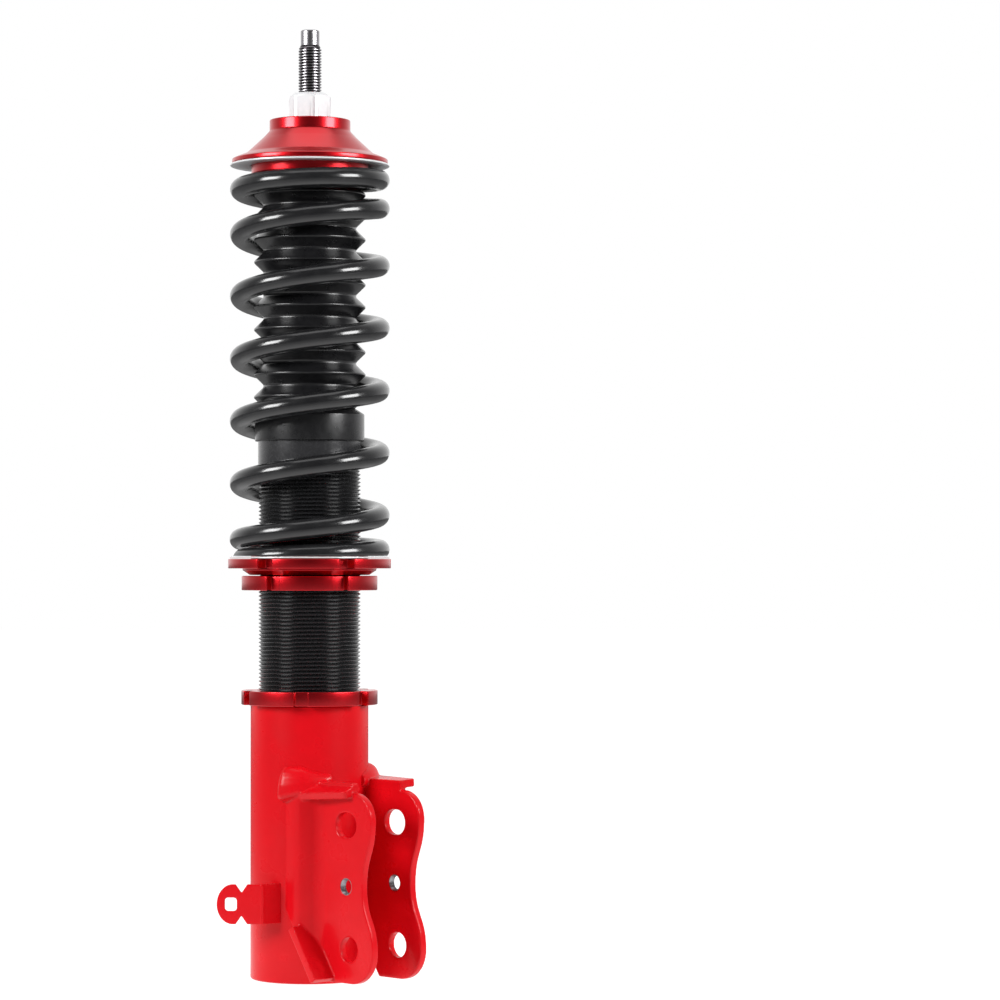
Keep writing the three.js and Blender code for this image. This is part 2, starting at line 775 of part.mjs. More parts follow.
const spigotClear = rodSpigotRadius + gap
const pistonRadius = bodyBoreRadius - pistonToBore
const bandZ = pistonZ + (pistonLength - bandWidth) / 2

function piston() {
  const body = tube(spigotClear, pistonRadius, pistonZ, pistonZ + pistonLength)
  const groove = tube(boreFit - bandThickness - gap, pistonRadius + 3, bandZ - gap, bandZ + bandWidth + gap)
  const ports = []
  for (let i = 0; i < portCount; i++) {
    const port = cylinder(portRadius, pistonZ - 1, pistonZ + pistonLength + 1, 8)
    port.translate((spigotClear + boreFit - bandThickness) / 2, 0, 0)
    port.rotateZ(i * 2 * Math.PI / portCount)
    ports.push(port)
  }
  return cut(body, [groove, ...ports])
}

function shimStack(bottom) {
  const step = shimStackHeight / 2
  return turned([
    [spigotClear, bottom], [shimRadius, bottom], [shimRadius, bottom + step],
    [shimRadius - shimStep, bottom + step], [shimRadius - shimStep, bottom + 2 * step],
    [spigotClear, bottom + 2 * step]
  ], smallFacets)
}

function pistonNut() {
  const nut = hexagon(pistonNutAcrossFlats, pistonNutZ, pistonNutZ + pistonNutHeight)
  return cut(nut, [cylinder(spigotClear, pistonNutZ - 1, pistonNutZ + pistonNutHeight + 1)])
}

function topOutBumper() {
  return tube(rodClear, rodClear + topOutWall, topOutZ, topOutZ + topOutHeight, smallFacets)
}

function rodWasher() {
  const bore = rodThreadRadius + gap
  return tube(bore, rodWasherRadius, rodWasherZ, rodWasherZ + rodWasherThickness, smallFacets)
}

function bumpStop() {
  const outside = []
  for (let i = 0; i < bumpStopLobes; i++) {
    const low = bumpStopZ + i * bumpStopLength / bumpStopLobes
    const round = bumpStopLength / bumpStopLobes / 4
    const lean = bumpStopRadius - (bumpStopLobes - 1 - i) * bumpStopLean
    outside.push([lean - bumpStopWaist, low], [lean, low + round], [lean, low + 3 * round])
  }
  outside.push([bumpStopRadius - bumpStopWaist, bumpStopTopZ])
  return turned([[rodClear, bumpStopZ], ...outside, [rodClear, bumpStopTopZ]], smallFacets)
}

function upperSpringSeat() {
  const boltRadius = rodThreadRadius + gap
  const pilotInner = pilotRadius - pilotWall
  const pilotBottom = seatZ - pilotHeight
  const recessFloor = seatTopZ - nutRecessDepth
  const rim = seatRimRadius
  return turned([
    [boltRadius, seatWebZ], [pilotInner - 5, seatWebZ], [pilotInner, seatZ + 1],
    [pilotInner, pilotBottom], [pilotRadius - 1, pilotBottom], [pilotRadius, pilotBottom + 1],
    [pilotRadius, seatZ], [rim - 0.6, seatZ], [rim, seatZ + 0.8],
    [rim, seatZ + seatRimHeight - 1.6], [rim - 0.9, seatZ + seatRimHeight - 0.5],
    [rim - 3, seatZ + seatRimHeight + 0.3], [seatShoulderRadius + 3, seatZ + seatShoulderRise - 1.6],
    [seatShoulderRadius, seatZ + seatShoulderRise],
    [seatNeckRadius + 2.6, seatZ + seatNeckRise - 2.6], [seatNeckRadius, seatZ + seatNeckRise],
    [seatNeckRadius, seatTopZ - 0.6], [seatNeckRadius - 0.6, seatTopZ],
    [nutRecessRadius, seatTopZ], [nutRecessRadius, recessFloor], [boltRadius, recessFloor]
  ])
}

function topNut() {
  const top = topNutZ + nutHeight
  const corner = nutAcrossFlats / 2 / Math.cos(Math.PI / 6)
  const crown = turned([
    [0, topNutZ - 1], [corner + 1, topNutZ - 1], [corner + 1, top - nutChamfer - 0.6],
    [nutAcrossFlats / 2 - 0.6, top - 0.8], [nutAcrossFlats / 2 - nutCrownInset, top], [0, top]
  ], smallFacets)
  const blank = toSolid(hexagon(nutAcrossFlats, topNutZ, top)).intersect(toSolid(crown))
  const hole = toSolid(cylinder(rodThreadRadius + gap, topNutZ - 1, top + 1))
  return fromSolid(blank.subtract(hole))
}

// ---- floating piston ------------------------------------------------------------

const floatingGrooveZ = floatingPistonZ + floatingPistonLength / 2

function floatingPiston() {
  const top = floatingPistonZ + floatingPistonLength
  const rim = boreFit - floatingPistonRim
  return grooved([
    [0, floatingPistonZ], [boreFit, floatingPistonZ], [boreFit, top],
    [rim, top], [rim - floatingPistonTaper, top - floatingPistonDish], [0, top - floatingPistonDish]
  ], floatingGrooveZ)
}

const sealRadius = boreFit - oRingRadius

// ---- assembly --------------------------------------------------------------------

const finishes = {
  powderCoat: { color: 0xd40f1c, roughness: 0.28, metalness: 0.0 },
  redAnodised: { color: 0xc8101e, roughness: 0.3, metalness: 0.85 },
  springPaint: { color: 0x0d0d0f, roughness: 0.18, metalness: 0.0 },
  blackThread: { color: 0x17181a, roughness: 0.35, metalness: 0.6 },
  rubber: { color: 0x141416, roughness: 0.55, metalness: 0.0 },
  zinc: { color: 0xdfe2e6, roughness: 0.25, metalness: 1.0 },
  chrome: { color: 0xc9ccd1, roughness: 0.12, metalness: 1.0 },
  steel: { color: 0x8f949b, roughness: 0.35, metalness: 1.0 },
  alloy: { color: 0xb4b8be, roughness: 0.4, metalness: 1.0 },
  brass: { color: 0xb08a45, roughness: 0.35, metalness: 1.0 },
  urethane: { color: 0xd9b13a, roughness: 0.6, metalness: 0.0 },
  sealGreen: { color: 0x2f6b4a, roughness: 0.6, metalness: 0.0 }
}

const strut = new THREE.Group()

function add(name, geometry, finish, turn = 0) {
  const mesh = new THREE.Mesh(geometry, new THREE.MeshStandardMaterial(finishes[finish]))
  mesh.name = name
  mesh.rotation.z = toRad(turn)
  strut.add(mesh)
}

add('bracket_tube', bracketTube(), 'powderCoat')
add('bracket_base_plate', basePlate(), 'powderCoat')
add('knuckle_ear_near', knuckleEar(-1, nearFlangeDroop), 'powderCoat')
add('knuckle_ear_far', knuckleEar(1, farFlangeDroop), 'powderCoat')
add('brake_line_tab', brakeLineTab(), 'powderCoat')
add('bracket_lock_ring', notchedRing(bracketRingZ, bracketRingNotchAngle), 'redAnodised')

add('body_tube', bodyTube(), 'blackThread')
add('base_plug', basePlug(), 'alloy')
add('gas_fill_screw', fillScrew(), 'steel')
add('rod_guide', rodGuide(), 'alloy')
add('rod_guide_seal', oRing(sealRadius, guideZ + guideLength / 2), 'rubber')
add('rod_bush', rodBush(), 'brass')
add('rod_seal', rodSeal(), 'sealGreen')
add('gland_nut', glandNut(), 'blackThread')
add('rod_wiper', rodWiper(), 'rubber')
add('dust_boot', dustBoot(), 'rubber')

add('lower_slip_washer', slipWasher(lowerWasherZ), 'zinc')
add('coil_spring', coilSpring(), 'springPaint')
add('lower_perch', lowerPerch(), 'redAnodised')
add('perch_lock_ring', notchedRing(perchRingZ, perchRingNotchAngle), 'redAnodised')

add('upper_slip_washer', slipWasher(upperWasherZ), 'zinc')
add('piston_band', tube(boreFit - bandThickness, boreFit, bandZ, bandZ + bandWidth), 'brass')

add('piston_rod', pistonRod(), 'chrome')
add('piston', piston(), 'alloy')
add('compression_shims', shimStack(upperShimZ), 'steel')
add('rebound_shims', shimStack(lowerShimZ), 'steel')
add('piston_nut', pistonNut(), 'zinc')
add('top_out_bumper', topOutBumper(), 'urethane')
add('bump_stop', bumpStop(), 'urethane')
add('upper_spring_seat', upperSpringSeat(), 'redAnodised')
add('rod_washer', rodWasher(), 'zinc')
add('top_nut', topNut(), 'zinc', 32)

add('floating_piston', floatingPiston(), 'alloy')
add('floating_piston_seal', oRing(sealRadius, floatingGrooveZ), 'rubber')

export default strut
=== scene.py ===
import json
from math import atan2, ceil, cos, degrees, hypot, pi, radians, sin, sqrt, tan

import bmesh
import bpy
from mathutils import Matrix, Vector


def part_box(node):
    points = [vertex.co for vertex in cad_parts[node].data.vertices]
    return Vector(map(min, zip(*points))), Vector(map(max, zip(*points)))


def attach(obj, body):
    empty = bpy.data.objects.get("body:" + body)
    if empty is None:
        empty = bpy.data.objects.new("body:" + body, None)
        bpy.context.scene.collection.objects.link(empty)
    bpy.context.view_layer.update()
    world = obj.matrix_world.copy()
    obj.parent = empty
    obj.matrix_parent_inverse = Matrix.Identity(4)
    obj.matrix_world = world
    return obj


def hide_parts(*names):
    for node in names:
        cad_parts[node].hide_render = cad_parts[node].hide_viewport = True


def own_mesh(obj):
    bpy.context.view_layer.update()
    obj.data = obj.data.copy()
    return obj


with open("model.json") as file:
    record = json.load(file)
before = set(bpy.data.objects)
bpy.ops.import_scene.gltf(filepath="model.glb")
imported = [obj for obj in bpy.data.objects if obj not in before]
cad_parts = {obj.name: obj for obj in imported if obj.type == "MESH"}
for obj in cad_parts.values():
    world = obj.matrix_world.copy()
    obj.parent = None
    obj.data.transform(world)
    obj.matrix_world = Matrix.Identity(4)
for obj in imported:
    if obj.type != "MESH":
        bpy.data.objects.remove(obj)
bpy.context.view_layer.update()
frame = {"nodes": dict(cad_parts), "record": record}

# Coilover strut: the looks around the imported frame.
# Sizes here are in millimetres and angles in degrees, both in the frame's own axes.

millimetre = 0.001
clearance = 0.3 # room left between pieces that only rest on each other
hollowDepth = 1.5 # how far welded pieces reach into the tube's wall
mergeDistance = 0.004
sliverLength = 0.002
made = []


def low(node, axis=2):
    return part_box(node)[0][axis] / millimetre


def high(node, axis=2):
    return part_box(node)[1][axis] / millimetre


levels = {
    "tubeTop": high("bracket_tube"),
    "tubeRadius": high("bracket_tube", 0),
    "bodyBottom": low("body_tube"),
    "bodyTop": high("body_tube"),
    "collarRadius": high("body_tube", 0),
    "seatBottom": high("upper_slip_washer") + clearance,
    "seatTop": high("upper_spring_seat"),
}


# the few tools that every piece is made with

def softened(points, closed=True, step=14):
    # points are (across, up) or (across, up, corner radius); corners with a radius become arcs
    path = []
    count = len(points)
    for i, point in enumerate(points):
        here = Vector(point[:2])
        size = point[2] if len(point) > 2 else 0
        if size == 0 or (not closed and i in (0, count - 1)):
            path.append(here)
            continue
        before = Vector(points[i - 1][:2]) - here
        after = Vector(points[(i + 1) % count][:2]) - here
        inside = before.angle(after)
        if pi - inside < 0.03:
            path.append(here)
            continue
        reach = min(size / tan(inside / 2), 0.49 * before.length, 0.49 * after.length)
        radius = reach * tan(inside / 2)
        middle = (before.normalized() + after.normalized()).normalized()
        centre = here + middle * (radius / sin(inside / 2))
        start = here + before.normalized() * reach - centre
        end = here + after.normalized() * reach - centre
        swing = start.angle(end)
        parts = max(2, ceil(degrees(swing) / step))
        for k in range(parts + 1):
            t = k / parts
            spot = start * (sin((1 - t) * swing) / sin(swing)) + end * (sin(t * swing) / sin(swing))
            path.append(centre + spot)
    return path


def lofted(name, loops, endless=False):
    # loops of equal length, joined side by side; a loop that shrinks to the axis closes the piece
    mesh = bpy.data.meshes.new(name)
    count = len(loops[0])
    points = [Vector(point) * millimetre for loop in loops for point in loop]
    faces = []
    rows = len(loops) if endless else len(loops) - 1
    for row in range(rows):
        below = row * count
        above = ((row + 1) % len(loops)) * count
        for i in range(count):
            j = (i + 1) % count
            faces.append((below + i, below + j, above + j, above + i))
    mesh.from_pydata(points, [], faces)
    return cleaned(mesh)


def cleaned(mesh):
    sheet = bmesh.new()
    sheet.from_mesh(mesh)
    bmesh.ops.remove_doubles(sheet, verts=sheet.verts, dist=mergeDistance * millimetre)
    bmesh.ops.dissolve_degenerate(sheet, edges=sheet.edges, dist=sliverLength * millimetre)
    bmesh.ops.recalc_face_normals(sheet, faces=sheet.faces)
    sheet.to_mesh(mesh)
    sheet.free()
    return mesh


def circle(radius, height, count):
    return [(radius * cos(2 * pi * i / count), radius * sin(2 * pi * i / count), height)
            for i in range(count)]


def turned(name, profile, count=144):
    # a closed profile of (radius, height, corner radius), turned about the strut's axis
    path = softened(profile)
    return lofted(name, [circle(max(p[0], 0), p[1], count) for p in path], endless=True)


def piece(name, mesh, body, slot, nodes, crease=32):
    mesh.polygons.foreach_set("use_smooth", [True] * len(mesh.polygons))
    mesh.set_sharp_from_angle(angle=radians(crease))
    mesh.materials.clear()
    mesh.materials.append(finishes[slot])
    thing = bpy.data.objects.new(name, mesh)
    bpy.context.collection.objects.link(thing)
    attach(thing, body)
    if nodes:
        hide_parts(*nodes)
    made.append(name)
    return thing


def evaluated(thing):
    bpy.context.view_layer.update()
    mesh = bpy.data.meshes.new_from_object(
        thing.evaluated_get(bpy.context.evaluated_depsgraph_get()))
    return mesh


def dropped(thing):
    data = thing.data
    bpy.data.objects.remove(thing)
    if isinstance(data, bpy.types.Mesh) and data.users == 0:
        bpy.data.meshes.remove(data)


def plate(outlines, thickness):
    # flat sheet in the XY plane from z = 0 to thickness; every outline after the first is a hole
    curve = bpy.data.curves.new("sheet", "CURVE")
    curve.dimensions = "2D"
    curve.fill_mode = "BOTH"
    curve.extrude = thickness / 2 * millimetre
    for outline in outlines:
        spline = curve.splines.new("POLY")
        spline.points.add(len(outline) - 1)
        for spot, point in zip(spline.points, outline):
            spot.co = (point[0] * millimetre, point[1] * millimetre, 0, 1)
        spline.use_cyclic_u = True
    thing = bpy.data.objects.new("sheet", curve)
    bpy.context.collection.objects.link(thing)
    mesh = evaluated(thing)
    bpy.data.objects.remove(thing)
    bpy.data.curves.remove(curve)
    mesh.transform(Matrix.Translation((0, 0, thickness / 2 * millimetre)))
    return cleaned(mesh)


def upright(mesh, y):
    # stands a flat sheet up in the XZ plane, with its thickness from y towards +Y
    mesh.transform(Matrix.Rotation(pi / 2, 4, "X"))
    mesh.transform(Matrix.Scale(-1, 4, (0, 1, 0)))
    mesh.transform(Matrix.Translation((0, y * millimetre, 0)))
    mesh.flip_normals()
    return mesh


def joined(name, meshes):
    sheet = bmesh.new()
    for mesh in meshes:
        sheet.from_mesh(mesh)
        bpy.data.meshes.remove(mesh)
    whole = bpy.data.meshes.new(name)
    bmesh.ops.recalc_face_normals(sheet, faces=sheet.faces)
    sheet.to_mesh(whole)
    sheet.free()
    return whole


def skinned(mesh, grain, rounds, cutter=None):
    # one continuous skin over everything in the mesh, its edges rounded as paint rounds them
    thing = bpy.data.objects.new("raw", mesh)
    bpy.context.collection.objects.link(thing)
    remesh = thing.modifiers.new("skin", "REMESH")
    remesh.mode = "VOXEL"
    remesh.voxel_size = grain * millimetre
    smooth = thing.modifiers.new("round", "SMOOTH")
    smooth.factor = 0.5
    smooth.iterations = rounds
    if cutter:
        cut = thing.modifiers.new("bore", "BOOLEAN")
        cut.operation = "DIFFERENCE"
        cut.solver = "EXACT"
        cut.object = cutter
    result = evaluated(thing)
    dropped(thing)
    return result


def boreCutter(radius, bottom, top):
    mesh = turned("bore", [(0, bottom), (radius, bottom), (radius, top), (0, top)], 192)
    thing = bpy.data.objects.new("bore", mesh)
    bpy.context.collection.objects.link(thing)
    thing.hide_render = True
    return thing


# the finishes, one function each

def shaderOf(name):
    material = bpy.data.materials.new(name)
    material.use_nodes = True
    nodes = material.node_tree.nodes
    return material, nodes, material.node_tree.links, nodes["Principled BSDF"]


def place(nodes, links):
    # object coordinates in millimetres
    coordinates = nodes.new("ShaderNodeTexCoord")
    scaled = nodes.new("ShaderNodeVectorMath")
    scaled.operation = "SCALE"
    scaled.inputs["Scale"].default_value = 1 / millimetre
    links.new(coordinates.outputs["Object"], scaled.inputs[0])
    return scaled.outputs[0]


def apartOf(nodes, links, vector):
    # the X, Y and Z outputs of a vector
    apart = nodes.new("ShaderNodeSeparateXYZ")
    links.new(vector, apart.inputs[0])
    return apart.outputs


def togetherOf(nodes, links, **parts):
    together = nodes.new("ShaderNodeCombineXYZ")
    for name, value in parts.items():
        links.new(value, together.inputs[name])
    return together.outputs[0]


def sumOf(nodes, links, operation, first, second, third=None):
    # each value is a socket or a plain number
    node = nodes.new("ShaderNodeMath")
    node.operation = operation
    for socket, value in zip(node.inputs, (first, second, third)):
        if isinstance(value, (int, float)):
            socket.default_value = value
        elif value is not None:
            links.new(value, socket)
    return node.outputs[0]


def noise(nodes, links, where, scale, detail=2, roughness=0.5):
    texture = nodes.new("ShaderNodeTexNoise")
    texture.inputs["Scale"].default_value = scale
    texture.inputs["Detail"].default_value = detail
    texture.inputs["Roughness"].default_value = roughness
    links.new(where, texture.inputs["Vector"])
    return texture.outputs["Fac"]


def remapped(nodes, links, value, fromLow, fromHigh, toLow, toHigh):
    ranged = nodes.new("ShaderNodeMapRange")
    ranged.inputs["From Min"].default_value = fromLow
    ranged.inputs["From Max"].default_value = fromHigh
    ranged.inputs["To Min"].default_value = toLow
    ranged.inputs["To Max"].default_value = toHigh
    links.new(value, ranged.inputs["Value"])
    return ranged.outputs["Result"]


def blended(nodes, links, share, first, second):
    mix = nodes.new("ShaderNodeMix")
    mix.data_type = "RGBA"
    mix.inputs["A"].default_value = (*first, 1)
    mix.inputs["B"].default_value = (*second, 1)
    links.new(share, mix.inputs["Factor"])
    return mix.outputs["Result"]


def bumped(nodes, links, shader, height, strength, depth, before=None):
    bump = nodes.new("ShaderNodeBump")
    bump.inputs["Strength"].default_value = strength
    bump.inputs["Distance"].default_value = depth * millimetre
    links.new(height, bump.inputs["Height"])
    if before:
        links.new(before, bump.inputs["Normal"])
    links.new(bump.outputs["Normal"], shader.inputs["Normal"])
    return bump.outputs["Normal"]


def lengthOf(nodes, links, vector):
    length = nodes.new("ShaderNodeVectorMath")
    length.operation = "LENGTH"
    links.new(vector, length.inputs[0])
    return length.outputs["Value"]


def aroundAxis(nodes, links, where):
    # (radius, 0, height) so that a noise over it runs round the part as turning lines do
    apart = apartOf(nodes, links, where)
    radius = lengthOf(nodes, links, togetherOf(nodes, links, X=apart["X"], Y=apart["Y"]))
    return togetherOf(nodes, links, X=radius, Z=apart["Z"]), radius


powderCoat = {
    "colour": (0.72, 0.004, 0.010),
    "deeper": (0.66, 0.003, 0.008),
    "roughness": (0.26, 0.32),
    "peelSize": 0.8,
    "peelDepth": 0.02,
    "shine": 0.16,
    "clear": 0.12,
    "speckle": 0.45,
}


def redPowderCoat():
    material, nodes, links, shader = shaderOf("redPowderCoat")
    where = place(nodes, links)
    tint = noise(nodes, links, where, 0.09, 3)
    speck = noise(nodes, links, where, 2.6, 1)
    share = remapped(nodes, links, tint, 0.35, 0.65, 0.0, 0.55)
    mottle = sumOf(nodes, links, "MULTIPLY_ADD", speck, powderCoat["speckle"], share)
    links.new(blended(nodes, links, mottle, powderCoat["colour"], powderCoat["deeper"]),
              shader.inputs["Base Color"])
    gloss = remapped(nodes, links, tint, 0.3, 0.7, *powderCoat["roughness"])
    links.new(gloss, shader.inputs["Roughness"])
    shader.inputs["Specular IOR Level"].default_value = powderCoat["shine"]
    shader.inputs["Coat Weight"].default_value = powderCoat["clear"]
    shader.inputs["Coat Roughness"].default_value = 0.05
    peel = noise(nodes, links, where, powderCoat["peelSize"], 2)
    bumped(nodes, links, shader, peel, 0.1, powderCoat["peelDepth"])
    return material


anodising = {
    "colour": (0.66, 0.004, 0.012),
    "deeper": (0.50, 0.002, 0.008),
    "roughness": (0.30, 0.35),
    "lineDepth": 0.003,
    "film": 0.7,
}


def redAnodised():
    material, nodes, links, shader = shaderOf("redAnodised")
    where = place(nodes, links)
    round_, _ = aroundAxis(nodes, links, where)
    lines = noise(nodes, links, round_, 5.5, 3, 0.65)
    cloud = noise(nodes, links, where, 0.12, 2)
    share = remapped(nodes, links, lines, 0.3, 0.75, 0.0, 0.35)
    links.new(blended(nodes, links, share, anodising["colour"], anodising["deeper"]),
              shader.inputs["Base Color"])
    links.new(remapped(nodes, links, cloud, 0.3, 0.7, *anodising["roughness"]),
              shader.inputs["Roughness"])
    shader.inputs["Metallic"].default_value = 1
    shader.inputs["Coat Weight"].default_value = anodising["film"]
    shader.inputs["Coat Roughness"].default_value = 0.2
    bumped(nodes, links, shader, lines, 0.3, anodising["lineDepth"])
    return material


springCoat = {
    "colour": (0.010, 0.010, 0.011),
    "worn": (0.015, 0.015, 0.016),
    "roughness": (0.20, 0.26),
    "peelDepth": 0.015,
}


def springPaint():
    material, nodes, links, shader = shaderOf("springPaint")
    where = place(nodes, links)
    cloud = noise(nodes, links, where, 0.15, 3)
    share = remapped(nodes, links, cloud, 0.4, 0.7, 0, 1)
    links.new(blended(nodes, links, share, springCoat["colour"], springCoat["worn"]),
              shader.inputs["Base Color"])
    links.new(remapped(nodes, links, cloud, 0.3, 0.7, *springCoat["roughness"]),
              shader.inputs["Roughness"])
    shader.inputs["Coat Weight"].default_value = 0.6
    shader.inputs["Coat Roughness"].default_value = 0.13
    peel = noise(nodes, links, where, 0.8, 2)
    bumped(nodes, links, shader, peel, 0.15, springCoat["peelDepth"])
    return material


threadCoat = {
    "colour": (0.012, 0.012, 0.013),
    "crest": (0.06, 0.06, 0.064),
    "crestRadius": (26.05, 26.55),
    "roughness": (0.22, 0.30),
}


def blackThread():
    # the crests are rubbed a little lighter than the roots
    material, nodes, links, shader = shaderOf("blackThread")
    where = place(nodes, links)
    round_, radius = aroundAxis(nodes, links, where)
    rub = noise(nodes, links, where, 0.5, 3)
    crest = remapped(nodes, links, radius, *threadCoat["crestRadius"], 0, 1)
    patch = remapped(nodes, links, rub, 0.3, 0.7, 0.5, 0.65)
    both = sumOf(nodes, links, "MULTIPLY", crest, patch)
    links.new(blended(nodes, links, both, threadCoat["colour"], threadCoat["crest"]),
              shader.inputs["Base Color"])
    links.new(remapped(nodes, links, rub, 0.3, 0.7, *threadCoat["roughness"]),
              shader.inputs["Roughness"])
    shader.inputs["Metallic"].default_value = 0.2
    shader.inputs["Coat Weight"].default_value = 0.5
    shader.inputs["Coat Roughness"].default_value = 0.15
    lines = noise(nodes, links, round_, 7.0, 2)
    bumped(nodes, links, shader, lines, 0.1, 0.003)
    return material


def rubber(name, colour, lighter, roughness, clear=0.0):
    material, nodes, links, shader = shaderOf(name)
    where = place(nodes, links)
    cloud = noise(nodes, links, where, 0.25, 4)
    grain = noise(nodes, links, where, 3.2, 2)
    share = remapped(nodes, links, cloud, 0.4, 0.75, 0, 1)
    links.new(blended(nodes, links, share, colour, lighter), shader.inputs["Base Color"])
    links.new(remapped(nodes, links, cloud, 0.3, 0.7, *roughness), shader.inputs["Roughness"])
    shader.inputs["Coat Weight"].default_value = clear
    shader.inputs["Coat Roughness"].default_value = 0.25
    shader.inputs["Specular IOR Level"].default_value = 0.4
    bumped(nodes, links, shader, grain, 0.15, 0.01)
    return material


def metal(name, colour, darker, roughness, lineScale, lineDepth, metallic=1.0):
    # turned or plated metal: fine lines round the axis and a cloudy tone
    material, nodes, links, shader = shaderOf(name)
    where = place(nodes, links)
    round_, _ = aroundAxis(nodes, links, where)
    lines = noise(nodes, links, round_, lineScale, 3, 0.6)
    cloud = noise(nodes, links, where, 0.35, 3)
    share = remapped(nodes, links, cloud, 0.35, 0.75, 0, 1)
    links.new(blended(nodes, links, share, colour, darker), shader.inputs["Base Color"])
    links.new(remapped(nodes, links, lines, 0.3, 0.7, *roughness), shader.inputs["Roughness"])
    shader.inputs["Metallic"].default_value = metallic
    bumped(nodes, links, shader, lines, 0.3, lineDepth)
    return material


rodSteel = {
    "chrome": (0.62, 0.62, 0.64),
    "thread": (0.46, 0.45, 0.47),
    # root: painted shade, the dark colour laid into the thread roots
    "root": (0.05, 0.045, 0.05),
    "rootShadeRadius": (5.2, 5.9),
    "shankRadius": (6.2, 8.5),
    "tipBelowTop": (8.2, 7.6),
}


def chromedRod():
    # hard chrome up to the shoulder, plain oiled steel on the threaded end, with painted shade laid dark
    # into the thread roots
    material, nodes, links, shader = shaderOf("chromedRod")
    where = place(nodes, links)
    round_, radius = aroundAxis(nodes, links, where)
    lines = noise(nodes, links, round_, 4.0, 3)
    onShank = remapped(nodes, links, radius, *rodSteel["shankRadius"], 0, 1)
    # depth: painted shade share, darkest at the thread roots and gone towards the crests; lit keeps the tip
    # clear of it
    depth = remapped(nodes, links, radius, *rodSteel["rootShadeRadius"], 0, 1)
    onTip = remapped(nodes, links, apartOf(nodes, links, where)["Z"],
                     *[high("piston_rod") - below for below in rodSteel["tipBelowTop"]], 0, 1)
    lit = sumOf(nodes, links, "MAXIMUM", depth, onTip)
    steel = blended(nodes, links, lit, rodSteel["root"], rodSteel["thread"])
    mix = nodes.new("ShaderNodeMix")
    mix.data_type = "RGBA"
    links.new(onShank, mix.inputs["Factor"])
    links.new(steel, mix.inputs["A"])
    mix.inputs["B"].default_value = (*rodSteel["chrome"], 1)
    links.new(mix.outputs["Result"], shader.inputs["Base Color"])
    links.new(remapped(nodes, links, onShank, 0, 1, 0.30, 0.08), shader.inputs["Roughness"])
    shader.inputs["Metallic"].default_value = 1
    bumped(nodes, links, shader, lines, 0.25, 0.008)
    return material


finishes = {
    "red_powder_coat": redPowderCoat(),
    "red_anodised_alloy": redAnodised(),
    "spring_paint": springPaint(),
    "black_thread": blackThread(),
    "black_rubber": rubber("blackRubber", (0.008, 0.008, 0.009), (0.013, 0.013, 0.014),
                           (0.26, 0.34), 0.6),
    "seal_rubber": rubber("sealRubber", (0.03, 0.14, 0.07), (0.04, 0.17, 0.09), (0.35, 0.5)),
    "zinc_plate": metal("zincPlate", (0.90, 0.90, 0.91), (0.84, 0.85, 0.87), (0.28, 0.4), 3.0, 0.004, 0.3),
    "chromed_rod": chromedRod(),
    "plain_steel": metal("plainSteel", (0.45, 0.45, 0.47), (0.33, 0.33, 0.35), (0.25, 0.4), 4.0, 0.01),
    "machined_alloy": metal("machinedAlloy", (0.70, 0.71, 0.72), (0.6, 0.6, 0.62), (0.22, 0.36), 5.0, 0.015),
    "bronze": metal("bronze", (0.52, 0.33, 0.14), (0.40, 0.25, 0.10), (0.3, 0.45), 4.0, 0.01),
    "urethane": rubber("urethane", (0.72, 0.50, 0.10), (0.62, 0.42, 0.08), (0.5, 0.65)),
}
print("finishes made:", len(finishes))


tubeShape = {"wall": 3.7, "lowerRound": 1.3, "upperRound": 0.5}


def bracketTube():
    outer = levels["tubeRadius"]
    inner = outer - tubeShape["wall"]
    return turned("bracketTube", [
        (inner, 0, 0.5), (outer, 0, tubeShape["lowerRound"]),
        (outer, levels["tubeTop"], tubeShape["upperRound"]), (inner, levels["tubeTop"], 0.4),
    ], 192)


basePlateShape = {"drain": 5.0, "dish": 0.5, "rim": 21.0}


def basePlate():
    radius = high("bracket_base_plate", 0)
    top = high("bracket_base_plate")
    rim = basePlateShape["rim"]
    dish = basePlateShape["dish"]
    return turned("basePlate", [
        (0, dish), (rim, dish, 1.0), (rim + 0.8, 0, 0.6), (radius, 0, 0.6),
        (radius, top, 0.6), (0, top),
    ], 144)


earShape = {
    "gap": 29, "sheet": 4.1,
    "upperHole": (49.3, 82.4, 6.4), "slot": 2.6,
    "middleHole": (49.3, 51.4, 4.25),
    "lowerHole": (51.5, 19.8, 6.4),
    "top": 98.9, "bottom": 2.6,
    "upperReach": 68, "waistReach": 61.5, "lowerReach": 69.5,
    "upperCorner": 14, "lowerCorner": 16,
    "wrap": (33, 67), "wrapTop": 100,
    "grain": 0.45, "rounds": 7,
}
flangeShape = {"rise": 4.9, "start": 11, "end": 54, "endWidth": 6, "nearDroop": 24, "farDroop": -4,
               "reliefCentre": (0.96, 0.64), "reliefRadius": 1.6, "reliefEnd": 1.9}
wrapShape = {"sunk": 0.6, "proud": 0.3, "worn": 0.93, "belowBrace": 1.0, "steps": 48}
braceShape = {"foot": 37.5, "angle": 124, "length": 31, "nearReach": 13.4, "farReach": 9.8}
weldShape = {"from": 71, "to": 20, "steps": 60, "seam": 1.2, "crown": 110.0, "out": 5.2,
             "tail": 1.2, "nose": 0.14,
             "full": 0.45, "left": 0.3, "root": 2.0, "drop": 2.0, "sides": 20}
bendShape = {"radius": 9.0, "taperFrom": 0.45}


def arc(centre, radius, start, end, step=4):
    parts = max(2, ceil(abs(end - start) / step))
    return [(centre[0] + radius * cos(radians(start + (end - start) * k / parts)),
             centre[1] + radius * sin(radians(start + (end - start) * k / parts)))
            for k in range(parts + 1)]


def bent(first, pullFirst, pullSecond, second, parts=24):
    # a smooth run from first to second, leaving and arriving along the two pulls
    path = []
    for k in range(1, parts + 1):
        t = k / parts
        u = 1 - t
        path.append(tuple(
            u ** 3 * a + 3 * u * u * t * b + 3 * u * t * t * c + t ** 3 * d
            for a, b, c, d in zip(first, pullFirst, pullSecond, second)))
    return path


